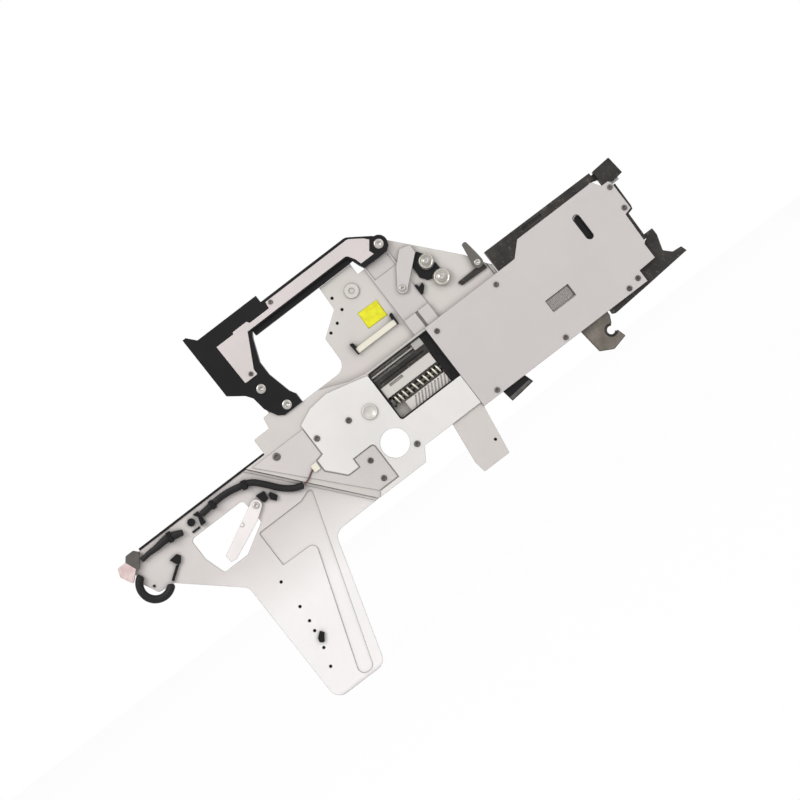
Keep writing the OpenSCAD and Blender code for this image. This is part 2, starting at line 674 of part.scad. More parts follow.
module finger_lever() {
    f = finger_at;
    color("gray") difference() {
        slab(concat(arc(f[0], f[1], 5.8, 170, 370, 10), [[f[0] + 5, f[1] + 9],
            [f[0] + 3, f[1] + finger_l, 2],
            [f[0] - 2, f[1] + finger_l, 2], [f[0] - 4, f[1] + 9]]), link_y, lever_t);
        across(f, shaft_r + fit, link_y - 1, lever_t + 2);
    }
}

module finger_screw() {
    color("gray") {
        across(finger_at, 3.4, link_y - head_t, head_t);
        across(finger_at, shaft_r, link_y, web_y - link_y);
        across(finger_at, tap_r - fit, web_y, tap_l);
    }
}

// The black bar that the finger lever carries and that locks the tape guide
module latch_rod() {
    f = finger_at;
    color("black") slab([[f[0] - 28, f[1] - 4, 1], [f[0] - 26, f[1] - 9, 1], [f[0] + 5, f[1] - 10, 1],
        [f[0] + 4, f[1] - 3.2], [f[0] - 4, f[1] - 3.2]], link_y + lever_t, 2);
}

// ---- Drive ------------------------------------------------------------------
// A spur gear's outline: involute flanks with backlash, one tooth at angle a0
press = 25;
function inv(a) = tan(a) - a * PI / 180;
function half_tooth(teeth, r) =
    let (rp = gear_m * teeth / 2, rb = rp * cos(press))
    90 / teeth - 0.06 / rp * 180 / PI + (inv(press) - (r > rb ? inv(acos(rb / r)) : 0)) * 180 / PI;
function gear_rim(teeth, a0) =
    let (rp = gear_m * teeth / 2, radii = [for (k = [-1.15, -0.55, 0, 0.42, 0.82]) rp + gear_m * k])
    [for (i = [0 : teeth - 1], k = [-5 : 4])
        let (r = radii[k < 0 ? 5 + k : 4 - k], h = half_tooth(teeth, r) * (k < 0 ? -1 : 1),
             a = a0 + i * 360 / teeth + h)
        r * [cos(a), sin(a)]];
// Phase of the next gear in the train, seen from the one before it
function mesh(dir, a0, teeth, next) = dir + 180 - (a0 - dir) * teeth / next - 180 / next;
gear_a = idler_dir;
idler_a = mesh(idler_dir, gear_a, gear_teeth, idler_teeth);
pinion_a = mesh(pinion_dir, idler_a, idler_teeth, pinion_teeth);

module gear(at, teeth, a0, y, w) {
    translate([at[0], 0, at[1]]) slab(gear_rim(teeth, a0), y, w);
}

module sprocket() {
    r = sprocket_teeth * 4 / (2 * PI) - 1;
    step = 360 / sprocket_teeth;
    teeth = [for (i = [0 : sprocket_teeth - 1], k = [0 : 3])
        let (a = i * step + [-1.8, -0.8, 0.8, 1.8][k]) (r + [0, 1.5, 1.5, 0][k]) * [cos(a), sin(a)]];
    color("gray") difference() {
        union() {
            translate([sprocket_at[0], 0, sprocket_at[1]]) slab(teeth, -1, 2);
            across(sprocket_at, 7, gear_y + gear_w, floor_y - gap - gear_y - gear_w);
        }
        across(sprocket_at, shaft_r + fit, face_y, body_t);
        for (a = [0 : 60 : 300]) across(sprocket_at + 14 * [cos(a), sin(a)], 3.5, -2, 4);
    }
}

module sprocket_gear() {
    color("tan") difference() {
        gear(sprocket_at, gear_teeth, gear_a, gear_y, gear_w);
        across(sprocket_at, shaft_r + fit, face_y, body_t);
    }
}

module idler_gear() {
    color("ivory") difference() {
        gear(idler_at, idler_teeth, idler_a, gear_y, gear_w);
        across(idler_at, shaft_r + fit, face_y, body_t);
        for (a = [0 : 60 : 300]) across(idler_at + 10 * [cos(a), sin(a)], 3, face_y, body_t);
    }
}

module motor_pinion() {
    color("gold") difference() {
        gear(pinion_at, pinion_teeth, pinion_a, gear_y, gear_w);
        across(pinion_at, shaft_r + fit, face_y, body_t);
    }
}

module drive_motor() {
    color("gray") union() {
        across(pinion_at, motor_r, motor_y, motor_t);
        across(pinion_at, 4, motor_y + motor_t, floor_y - motor_y - motor_t);
        across(pinion_at, shaft_r, gear_y, motor_y - gear_y + 1);
    }
}

module gear_shafts() {
    color("silver") for (p = [sprocket_at, idler_at]) across(p, shaft_r, face_y, body_t - floor_t);
}

module control_board() {
    color("darkgreen") block([-60, 22], [64, 82], [floor_y - 1.6, floor_y]);
    color("black") for (i = [0 : 2]) block([-50 + 26 * i, -38 + 26 * i], [67, 79],
        [floor_y - 3.4, floor_y - 1.6]);
}

// ---- Small fixed pieces --------------------------------------------------------
bar_x = [-144, -96];
bar_z = [118, 124];
module light_bar() {
    color("ivory") block(bar_x, bar_z, [web_y - 4, web_y - 0.5]);
}
module light_clips() {
    color("black") for (s = [0, 1]) mirror([s, 0, 0]) translate([s == 0 ? bar_x[0] : -bar_x[1], 0, 0])
        slab([[-1.5, bar_z[0] - 1, 0.8], [0, bar_z[0] - 1], [0, bar_z[1]], [2, bar_z[1]],
            [1, bar_z[1] + 6, 1],
            [-2.5, bar_z[1] + 7, 1], [-2, bar_z[1]]], web_y - 5, 5);
}

module sensing_arm() {
    a = arm_at;
    tip = a + arm_l * [-cos(26), -sin(26)];
    color("white") difference() {
        slab(concat(arc(a[0], a[1], 6, -60, 110, 8), [tip + [-1, 4.5], tip + [0, -3.5], tip + [6, -4.5],
            a + [-8, -13]]), web_y - 3.5, 2);
        across(a, shaft_r + fit, web_y - 5, 5);
    }
    color("black") across(a + [-23, -7], 2, web_y - 4.3, 0.8);
}
module arm_screw() {
    color("silver") {
        across(arm_at, 3.4, web_y - 3.5 - head_t, head_t);
        across(arm_at, shaft_r, web_y - 3.5, 3.5);
        across(arm_at, tap_r - fit, web_y, tap_l);
    }
}
module arm_sensor() {
    color("black") slab([[-313, 68, 1], [-303, 67, 1], [-304, 58, 1], [-310, 57, 1]], web_y - 3, 3);
    color("gray") slab([[-302, 61], [-299, 62.5], [-294.5, 55, 2], [-299, 51], [-303, 56]],
        web_y - 3.5, 3.5);
}

// A smooth run of rings through hand-picked points [x, y, z, radius]
function blend4(p, q, r, s, t) =
    0.5 * (2 * q + (r - p) * t + (2 * p - 5 * q + 4 * r - s) * t * t + (3 * q - p - 3 * r + s) * t * t * t);
function run(p, n = 3) =
    let (e = len(p) - 1)
    concat([for (i = [0 : e - 1], k = [0 : n - 1])
        blend4(p[max(i - 1, 0)], p[i], p[i + 1], p[min(i + 2, e)], k / n)], [p[e]]);
module tube(route, sides = 10) {
    p = run(route);
    e = len(p) - 1;
    ring = [for (i = [0 : e])
        let (d = p[min(i + 1, e)] - p[max(i - 1, 0)], u = unit([d[0], d[2]]), w = [-u[1], u[0]])
        for (j = [0 : sides - 1])
            let (c = p[i][3] * cos(360 * j / sides), s = p[i][3] * sin(360 * j / sides))
            [p[i][0] + w[0] * c, p[i][1] + s, p[i][2] + w[1] * c]];
    ends = [[for (j = [sides - 1 : -1 : 0]) j], [for (j = [0 : sides - 1]) e * sides + j]];
    wall_faces = [for (i = [0 : e - 1], j = [0 : sides - 1])
        let (k = (j + 1) % sides) [i * sides + j, i * sides + k, (i + 1) * sides + k, (i + 1) * sides + j]];
    polyhedron(points = ring, faces = concat(ends, wall_faces));
}

sleeve_route = [[-367, 86], [-340, 88], [-320, 85], [-308, 81], [-298, 71], [-288, 59], [-278, 51],
    [-268, 47]];
bundle_route = [[-442, 86, 2.8], [-432, 87, 2.8], [-422, 87, 3.4], [-410, 88, 4.2], [-401, 86, 4.3],
    [-392, 83, 3]];
module harness_sleeve() {
    color([0.1, 0.1, 0.1]) {
        tube([for (p = sleeve_route) [p[0], cable_y, p[1], sleeve_r]]);
        tube([for (p = bundle_route) [p[0], cable_y, p[1], p[2]]]);
    }
}

// The stiff loop of cable at the rear end
module cable_loop() {
    color([0.1, 0.1, 0.1]) translate([loop_at[0], cable_y, loop_at[1]]) rotate([90, 115, 0])
        rotate_extrude(angle = -205) translate([loop_r, 0]) circle(r = loop_cable_r, $fn = 24);
}

// A strap round a straight stretch of cable, with its foot on the plate
module strap(at, r, tilt, w) {
    out = r + 1.4;
    translate([at[0], cable_y, at[1]]) rotate([0, tilt, 0]) difference() {
        translate([-w / 2, -out, -out]) cube([w, out + web_y - cable_y, 2 * out]);
        translate([-w, 0, 0]) rotate([0, 90, 0]) cylinder(r = r + 0.7, h = 2 * w);
    }
}
module cable_ties() {
    color("black") {
        slab([[-420, 69], [-411, 70, 1], [-408, 66, 1], [-413, 60], [-417, 62]], web_y - 4, 4);
        slab([[-374, 91], [-371, 86], [-374, 77], [-368, 77], [-368, 91]], web_y - 6, 6);
        strap([-315, 83.4], sleeve_r, 16, 5);
        strap([-352, 87.1], sleeve_r, -4, 4);
        strap([-405.5, 87.3], 4.3, 10, 4);
        across([-380, 86], 4, web_y - 3, 3);
        block([-385, -376], [76, 78], [web_y - 1.5, web_y]);
        across([-448, 58], 1.4, web_y - 1.2, 1.2);
    }
    color("white") slab([[-430.5, 52], [-418, 61], [-414, 60.5], [-429.5, 49.5]], web_y - 3, 3);
}

module rear_plug() {
    color("mistyrose") slab([[-466, 94, 2], [-456, 94], [-451.5, 82.5], [-462.5, 72.5, 1], [-469, 85, 1]],
        web_y - 7, 7);
}
module plug_housing() {
    color("gray") slab([[-456, 94], [-452, 99, 2], [-443, 99, 3], [-439, 94], [-449, 80.5], [-451.5, 82.5]],
        web_y - 7, 7);
}

lead_route = [[-266.5, 47.2, 0.8], [-260, 49, 0.8], [-255, 52, 0.8], [-251.4, 54, 0.8]];
module signal_lead() {
    color("brown") tube([for (p = lead_route) [p[0], face_y - inset_t - 0.9, p[1], p[2]]], 8);
}
module lead_socket() {
    color("ivory") slab([[-251, 58, 1], [-244, 58], [-244, 50], [-251, 50, 1]], face_y - inset_t - 2, 2);
}

module thumb_screw() {
    color("gainsboro") difference() {
        union() {
            across(thumb_at, 8, face_y - cover_t - 2, 2);
            across(thumb_at, 4 - fit, face_y - cover_t, cover_t);
        }
        across(thumb_at, 5.5, face_y - cover_t - 3, 2);
    }
}

module cover_screws() {
    color("silver") {
        for (p = front_bolts) pan_screw(p, head_r, face_y - cover_t, cover_t + tap_l - 1);
        for (p = hub_bolts) pan_screw(p, head_r + 0.4, face_y - cover_t, cover_t + tap_l - 1);
        for (p = inset_bolts) pan_screw(p, head_r + 0.2, face_y - inset_t, inset_t + tap_l - 1);
        across(deck_bolt, 4, face_y - inset_t - head_t, head_t);
    }
}

module leg_fitting() {
    color("black") slab([[-351, -87], [-350, -83, 1], [-344, -78, 1], [-341, -82, 1], [-347, -90, 1]],
        web_y - 3, 3);
}

main_frame();
rear_plate();
front_cover();
hub_cover();
inset_plate();
back_cover();
stub_leg();
top_strip();
nose_strip();
front_block();
front_claw();
base_rail();
base_connector();
tape_guide();
guide_pin();
handle_body();
handle_plate();
release_trigger();
trigger_pin();
handle_screws();
clamp_hook();
hook_pin();
pull_rod();
return_spring();
guide_rod();
window_rail();
spring_plate();
ribbed_plate();
window_clip();
upper_bracket();
link_lever();
link_screw();
roller_bracket();
upper_roller();
lower_roller();
finger_lever();
finger_screw();
latch_rod();
sprocket();
sprocket_gear();
idler_gear();
motor_pinion();
drive_motor();
gear_shafts();
control_board();
light_bar();
light_clips();
sensing_arm();
arm_screw();
arm_sensor();
harness_sleeve();
cable_loop();
cable_ties();
rear_plug();
plug_housing();
signal_lead();
lead_socket();
thumb_screw();
cover_screws();
leg_fitting();
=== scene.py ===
"""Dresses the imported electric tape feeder: finishes, fasteners, cables, stage, light and camera.

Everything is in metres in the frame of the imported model: +X runs to the pick-up end, +Z up, and
the side with the covers and levers faces -Y.
"""

from __future__ import annotations

import json
import logging
import math
from dataclasses import dataclass
from enum import Enum
from typing import Iterable, Sequence

import bpy
import numpy as np
from mathutils import Matrix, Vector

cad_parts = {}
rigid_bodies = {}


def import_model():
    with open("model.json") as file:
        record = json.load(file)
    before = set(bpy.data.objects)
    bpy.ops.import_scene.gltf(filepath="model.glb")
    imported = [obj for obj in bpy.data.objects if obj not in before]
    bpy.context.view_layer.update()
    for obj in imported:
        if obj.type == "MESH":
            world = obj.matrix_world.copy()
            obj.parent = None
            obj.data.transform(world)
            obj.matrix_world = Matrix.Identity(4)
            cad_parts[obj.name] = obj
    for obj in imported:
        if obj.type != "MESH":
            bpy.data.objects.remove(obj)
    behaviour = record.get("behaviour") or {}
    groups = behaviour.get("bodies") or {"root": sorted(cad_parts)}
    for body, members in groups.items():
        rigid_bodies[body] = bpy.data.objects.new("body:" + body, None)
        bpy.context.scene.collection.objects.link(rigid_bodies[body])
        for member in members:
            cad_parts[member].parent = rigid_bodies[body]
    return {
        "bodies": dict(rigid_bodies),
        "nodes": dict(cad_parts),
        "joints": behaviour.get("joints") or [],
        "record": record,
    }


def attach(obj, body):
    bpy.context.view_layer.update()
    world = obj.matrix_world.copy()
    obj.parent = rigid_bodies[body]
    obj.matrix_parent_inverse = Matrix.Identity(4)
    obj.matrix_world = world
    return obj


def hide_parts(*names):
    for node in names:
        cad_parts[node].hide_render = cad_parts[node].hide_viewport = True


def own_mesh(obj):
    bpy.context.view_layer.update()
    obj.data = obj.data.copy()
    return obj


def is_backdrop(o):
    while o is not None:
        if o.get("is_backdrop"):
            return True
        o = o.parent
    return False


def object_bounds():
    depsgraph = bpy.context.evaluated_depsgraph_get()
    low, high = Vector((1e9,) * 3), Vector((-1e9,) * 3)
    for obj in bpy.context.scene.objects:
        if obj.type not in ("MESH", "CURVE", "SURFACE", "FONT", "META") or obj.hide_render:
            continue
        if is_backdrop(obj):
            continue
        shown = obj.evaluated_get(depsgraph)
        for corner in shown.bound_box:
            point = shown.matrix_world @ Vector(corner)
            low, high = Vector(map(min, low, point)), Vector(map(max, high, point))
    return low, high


LOG = logging.getLogger("feeder")
MM = 0.001
Colour = tuple[float, float, float]

# Planes across the feeder, shared with the solids
FACE_Y = -8.0
WEB_Y = -1.0
COVER_Y = -10.0
INSET_Y = -9.0
CABLE_Y = -5.6
LINK_Y = -6.5
HANDLE_Y = -10.0

# Painted shade: the turn of an edge's normal over which the edge colour is painted in, the sky that a corner sees, and
# how dark the painted shade in a corner gets
EDGE_FROM, EDGE_TO = 0.99, 0.86
SKY_FROM, SKY_TO = 0.92, 0.35
CORNER_SHADE = 0.22
SHADER_SAMPLES = 6


def linear(red: int, green: int, blue: int) -> Colour:
    """Turns a display colour of three bytes into scene-linear values.

    Args:
        red: Red byte.
        green: Green byte.
        blue: Blue byte.

    Returns:
        The colour on a linear scale.
    """
    scale = [v / 255.0 for v in (red, green, blue)]
    return tuple(v / 12.92 if v <= 0.04045 else ((v + 0.055) / 1.055) ** 2.4 for v in scale)


# ---------------------------------------------------------------------------- shapes


def to_mesh(name: str, points: np.ndarray, faces: list[Sequence[int]], smooth: bool) -> bpy.types.Object:
    """Puts points and faces into a new mesh object at the origin.

    Args:
        name: Name of the piece.
        points: Array of shape (n, 3), in millimetres.
        faces: Corner indices of each face.
        smooth: Whether the faces are shaded smooth.

    Returns:
        The new object, linked to the scene.
    """
    mesh = bpy.data.meshes.new(name)
    mesh.from_pydata((points * MM).tolist(), [], faces)
    mesh.polygons.foreach_set("use_smooth", [smooth] * len(mesh.polygons))
    mesh.validate()
    mesh.update()
    piece = bpy.data.objects.new(name, mesh)
    bpy.context.scene.collection.objects.link(piece)
    return piece


def ring_faces(count: int, sides: int, loop: bool, offset: int) -> list[Sequence[int]]:
    """Quads between neighbouring rings, and a cap on each end where the rings don't close on themselves.

    Args:
        count: Number of rings.
        sides: Points in each ring.
        loop: Whether the last ring joins the first.
        offset: Index of the first point.

    Returns:
        The faces, as lists of indices.
    """
    rows = np.arange(count if loop else count - 1)
    cols = np.arange(sides)
    i, j = np.meshgrid(rows, cols, indexing="ij")
    after, beside = (i + 1) % count, (j + 1) % sides
    quads = np.stack([i * sides + j, i * sides + beside, after * sides + beside, after * sides + j], -1)
    faces = (quads.reshape(-1, 4) + offset).tolist()
    if not loop:
        faces.append((offset + np.arange(sides)[::-1]).tolist())
        faces.append((offset + (count - 1) * sides + np.arange(sides)).tolist())
    return faces


def volume_sign(rings: np.ndarray, faces: list[Sequence[int]], offset: int) -> float:
    """Signed volume of a closed set of faces: the sum of each fan triangle's box product over six.

    Args:
        rings: All ring points, flattened to (n, 3).
        faces: The closed shell's faces.
        offset: Index of the first ring point.

    Returns:
        The volume, which is negative where the faces point inwards.
    """
    total = 0.0
    for face in faces:
        p = rings[np.asarray(face) - offset]
        total += float(np.einsum("i,ji->", p[0], np.cross(p[1:-1], p[2:])) if len(p) > 2 else 0.0)
    return total / 6.0


@dataclass
class Shell:
    """Collects closed shells of rings and turns them into one mesh piece."""

    name: str
    smooth: bool = True

    def __post_init__(self) -> None:
        """Starts with no shells."""
        self.points: list[np.ndarray] = []
        self.faces: list[Sequence[int]] = []
        self.size = 0

    def loft(self, rings: np.ndarray, loop: bool = False) -> Shell:
        """Adds the surface through a stack of rings, as a grid of ring number by place round the ring.

        Args:
            rings: Array of shape (rings, sides, 3), in millimetres.
            loop: Whether the last ring joins the first.

        Returns:
            This collector.
        """
        count, sides = rings.shape[:2]
        flat = rings.reshape(-1, 3)
        faces = ring_faces(count, sides, loop, self.size)
        if volume_sign(flat, faces, self.size) < 0:
            faces = [face[::-1] for face in faces]
        self.points.append(flat)
        self.faces.extend(faces)
        self.size += len(flat)
        return self

    def turned(self, at: Sequence[float], profile: Sequence[Sequence[float]], sides: int = 40,
               lobes: int = 0, depth: float = 0.0, tilt: float = 0.0) -> Shell:
        """Adds a turned shape whose axis runs across the feeder: radius r and height y along a profile.

        Args:
            at: X and Z of the axis.
            profile: Pairs of radius and Y, from one end to the other.
            sides: Points round the axis.
            lobes: Number of flutes round the rim.
            depth: Depth of the flutes, as a share of the radius.
            tilt: Turn about the axis, in degrees.

        Returns:
            This collector.
        """
        angle = np.linspace(0, 2 * math.pi, sides, endpoint=False)[None, :]
        table = np.asarray(profile, float)
        swell = 1.0 - depth * 0.5 * (1 - np.cos(lobes * angle)) if lobes else np.ones_like(angle)
        radius = table[:, 0:1] * swell
        turn = angle + math.radians(tilt)
        rings = np.stack([at[0] + radius * np.cos(turn), np.repeat(table[:, 1:2], sides, 1),
                          at[1] + radius * np.sin(turn)], -1)
        return self.loft(rings)

    def recessed(self, at: Sequence[float], radius: float, top: float, base: float, socket: float,
                 corners: int = 6, tilt: float = 0.0, dome: float = 0.25) -> Shell:
        """Adds a screw head with a cornered recess. The recess's radius at an angle is that of a regular
        polygon, its apothem over the cosine of the angle from the nearest flat's middle.

        Args:
            at: X and Z of the axis.
            radius: Radius of the head.
            top: Y of the head's top.
            base: Y of the head's underside.
            socket: Apothem of the recess.
            corners: Corners of the recess.
            tilt: Turn about the axis, in degrees.
            dome: How much of the height is rounded off.

        Returns:
            This collector.
        """
        sides = 48
        angle = np.linspace(0, 2 * math.pi, sides, endpoint=False)
        flat = math.pi / corners
        poly = socket / np.cos((angle % (2 * flat)) - flat)
        height = base - top
        steps = [(radius, base), (radius, top + height * dome * 2), (radius * 0.93, top + height * dome * 0.8),
                 (radius * 0.8, top + height * 0.05), (radius * 0.62, top)]
        rows = [np.full(sides, r) for r, _ in steps] + [poly * 1.06, poly * 0.96, poly * 0.9]
        ys = [y for _, y in steps] + [top, top + height * 0.12, top + height * 0.75]
        turn = angle + math.radians(tilt)
        rings = np.stack([np.stack([at[0] + r * np.cos(turn), np.full(sides, y), at[1] + r * np.sin(turn)], -1)
                          for r, y in zip(rows, ys)])
        return self.loft(rings)

    def plate(self, outline: np.ndarray, near: float, far: float, chamfer: float = 0.3) -> Shell:
        """Adds a flat plate with chamfered rims: the outline moved inwards along its corner normals.

        Args:
            outline: Corners in X and Z.
            near: Y of the face nearest the viewer.
            far: Y of the other face.
            chamfer: Width of the chamfer.

        Returns:
            This collector.
        """
        inner = inset(outline, chamfer)
        rows = [(inner, near), (outline, near + chamfer), (outline, far - chamfer), (inner, far)]
        rings = np.stack([np.stack([o[:, 0], np.full(len(o), y), o[:, 1]], -1) for o, y in rows])
        return self.loft(rings)

    def swept(self, path: np.ndarray, radius: np.ndarray, sides: int = 16, loop: bool = False) -> Shell:
        """Adds a tube along a path: a circle square to the path's direction at each point, whose radius
        may change from point to point and round the ring.

        Args:
            path: Array of shape (n, 3), in millimetres.
            radius: Radius at each point, of shape (n,) or (n, sides).
            sides: Points round the tube.
            loop: Whether the path closes on itself.

        Returns:
            This collector.
        """
        if loop:
            ahead = np.roll(path, -1, 0) - np.roll(path, 1, 0)
        else:
            ahead = np.gradient(path, axis=0)
        ahead /= np.linalg.norm(ahead, axis=1)[:, None]
        across = np.cross(ahead, np.array([0.0, 1.0, 0.0]))
        weak = np.linalg.norm(across, axis=1) < 1e-4
        across[weak] = np.array([1.0, 0.0, 0.0])
        across /= np.linalg.norm(across, axis=1)[:, None]
        up = np.cross(across, ahead)
        angle = np.linspace(0, 2 * math.pi, sides, endpoint=False)
        reach = np.broadcast_to(radius[:, None] if radius.ndim == 1 else radius, (len(path), sides))
        rings = path[:, None, :] + reach[..., None] * (
            np.cos(angle)[None, :, None] * across[:, None, :] + np.sin(angle)[None, :, None] * up[:, None, :])
        return self.loft(rings, loop)

    def make(self) -> bpy.types.Object:
        """Makes the mesh piece from everything collected.

        Returns:
            The piece.
        """
        return to_mesh(self.name, np.concatenate(self.points), self.faces, self.smooth)


def inset(outline: np.ndarray, distance: float) -> np.ndarray:
    """Moves an outline's corners inwards along the mean of the two edge normals, to keep edges parallel.

    Args:
        outline: Corners, in order.
        distance: How far each edge moves.

    Returns:
        The moved corners.
    """
    before = outline - np.roll(outline, 1, 0)
    after = np.roll(outline, -1, 0) - outline
    area = float(np.sum(outline[:, 0] * np.roll(outline[:, 1], -1) - np.roll(outline[:, 0], -1) * outline[:, 1]))
    side = 1.0 if area > 0 else -1.0
    normals = []
    for edge in (before, after):
        unit = edge / np.maximum(np.linalg.norm(edge, axis=1), 1e-9)[:, None]
        normals.append(side * np.stack([-unit[:, 1], unit[:, 0]], -1))
    mean = normals[0] + normals[1]
    scale = 2.0 / np.maximum(np.sum(mean * mean, 1), 0.6)
    return outline + mean * scale[:, None] * distance


def rounded(corners: Sequence[Sequence[float]], steps: int = 6) -> np.ndarray:
    """Rounds the corners of an outline. A corner's third number is its radius, and each arc is swept
    between the points where it touches the two edges.

    Args:
        corners: X, Z and, where the corner is round, its radius.
        steps: Segments in each arc.

    Returns:
        The outline's points.
    """
    points = []
    for i, corner in enumerate(corners):
        here = np.array(corner[:2], float)
        if len(corner) < 3:
            points.append(here[None, :])
            continue
        back = np.array(corners[i - 1][:2], float) - here
        ahead = np.array(corners[(i + 1) % len(corners)][:2], float) - here
        back /= np.linalg.norm(back)
        ahead /= np.linalg.norm(ahead)
        half = math.acos(float(np.clip(back @ ahead, -1, 1))) / 2
        middle = here + (back + ahead) / np.linalg.norm(back + ahead) * corner[2] / math.sin(half)
        first = here + back * corner[2] / math.tan(half) - middle
        last = here + ahead * corner[2] / math.tan(half) - middle
        start = math.atan2(first[1], first[0])
        turn = (math.atan2(last[1], last[0]) - start + math.pi) % (2 * math.pi) - math.pi
        angle = start + turn * np.linspace(0, 1, steps + 1)
        points.append(middle + corner[2] * np.stack([np.cos(angle), np.sin(angle)], -1))
    return np.concatenate(points)


def smooth_path(knots: Sequence[Sequence[float]], step: float) -> np.ndarray:
    """A Catmull-Rom curve through knots, sampled at even steps of length.

    Args:
        knots: Points, each with any number of values. The first three are a place.
        step: Distance between samples, in millimetres.

    Returns:
        The samples.
    """
    p = np.asarray(knots, float)
    p = np.concatenate([2 * p[:1] - p[1:2], p, 2 * p[-1:] - p[-2:-1]])
    t = np.linspace(0, 1, 24, endpoint=False)[:, None]
    runs = [0.5 * (2 * b + (c - a) * t + (2 * a - 5 * b + 4 * c - d) * t ** 2 + (3 * b - a - 3 * c + d) * t ** 3)
            for a, b, c, d in zip(p[:-3], p[1:-2], p[2:-1], p[3:])]
    fine = np.concatenate(runs + [p[-2:-1]])
    reach = np.concatenate([[0], np.cumsum(np.linalg.norm(np.diff(fine[:, :3], axis=0), axis=1))])
    places = np.linspace(0, reach[-1], max(4, int(reach[-1] / step)))
    return np.stack([np.interp(places, reach, fine[:, k]) for k in range(fine.shape[1])], -1)


# ---------------------------------------------------------------------------- finishes


class Grain(Enum):
    """The small-scale surface of a finish, as the stretch of its pattern along X, Y and Z."""

    BRUSHED = (0.06, 1.0, 1.0)
    CAST = (1.0, 1.0, 1.0)
    BRAID = (1.4, 1.4, 1.4)


class Bench:
    """A material's node tree, with short ways to add and join nodes."""

    def __init__(self, name: str) -> None:
        """Starts an empty material.

        Args:
            name: The material's name.
        """
        self.material = bpy.data.materials.new(name)
        self.material.use_nodes = True
        self.tree = self.material.node_tree
        self.tree.nodes.clear()

    def add(self, kind: str, **inputs: object) -> bpy.types.Node:
        """Adds a node and sets or joins its inputs.

        Args:
            kind: The node's type.
            **inputs: Socket names with underscores for spaces, each with a value or a socket.

        Returns:
            The new node.
        """
        node = self.tree.nodes.new(kind)
        for key, value in inputs.items():
            self.join(node, key.replace("_", " "), value)
        return node

    def join(self, node: bpy.types.Node, key: str | int, value: object) -> None:
        """Sets one input, or joins it to a socket.

        Args:
            node: The node.
            key: Name or number of the input.
            value: A value or an output socket.
        """
        socket = node.inputs[key]
        if isinstance(value, bpy.types.NodeSocket):
            self.tree.links.new(value, socket)
        elif isinstance(value, tuple) and len(value) == 3 and socket.type == "RGBA":
            socket.default_value = (*value, 1.0)
        else:
            socket.default_value = value

    def maths(self, operation: str, first: object, second: object = 0.0) -> object:
        """Adds a Math node.

        Args:
            operation: The node's operation.
            first: First value or socket.
            second: Second value or socket.

        Returns:
            The output.
        """
        node = self.tree.nodes.new("ShaderNodeMath")
        node.operation = operation
        self.join(node, 0, first)
        self.join(node, 1, second)
        return node.outputs[0]

    def span(self, value: object, low: float, high: float, to_low: float = 0.0, to_high: float = 1.0) -> object:
        """Adds a clamped Map Range node.

        Args:
            value: The value to map.
            low: Value that gives to_low.
            high: Value that gives to_high.
            to_low: Result at low.
            to_high: Result at high.

        Returns:
            The output.
        """
        node = self.add("ShaderNodeMapRange", Value=value)
        for key, number in (("From Min", low), ("From Max", high), ("To Min", to_low), ("To Max", to_high)):
            node.inputs[key].default_value = number
        return node.outputs[0]

    def mix(self, share: object, first: object, second: object) -> object:
        """Adds a colour Mix node, whose colours are inputs 6 and 7 and output 2.

        Args:
            share: Share of the second colour.
            first: First colour.
            second: Second colour.

        Returns:
            The mixed colour.
        """
        node = self.tree.nodes.new("ShaderNodeMix")
        node.data_type = "RGBA"
        self.join(node, 0, share)
        self.join(node, 6, first)
        self.join(node, 7, second)
        return node.outputs[2]

    def noise(self, where: object, scale: float, detail: float = 4.0, rough: float = 0.55) -> object:
        """Adds a Noise Texture.

        Args:
            where: Coordinates.
            scale: Scale of the pattern.
            detail: Number of octaves.
            rough: Weight of the finer octaves.

        Returns:
            Its value.
        """
        return self.add("ShaderNodeTexNoise", Vector=where, Scale=scale, Detail=detail,
                        Roughness=rough).outputs[0]


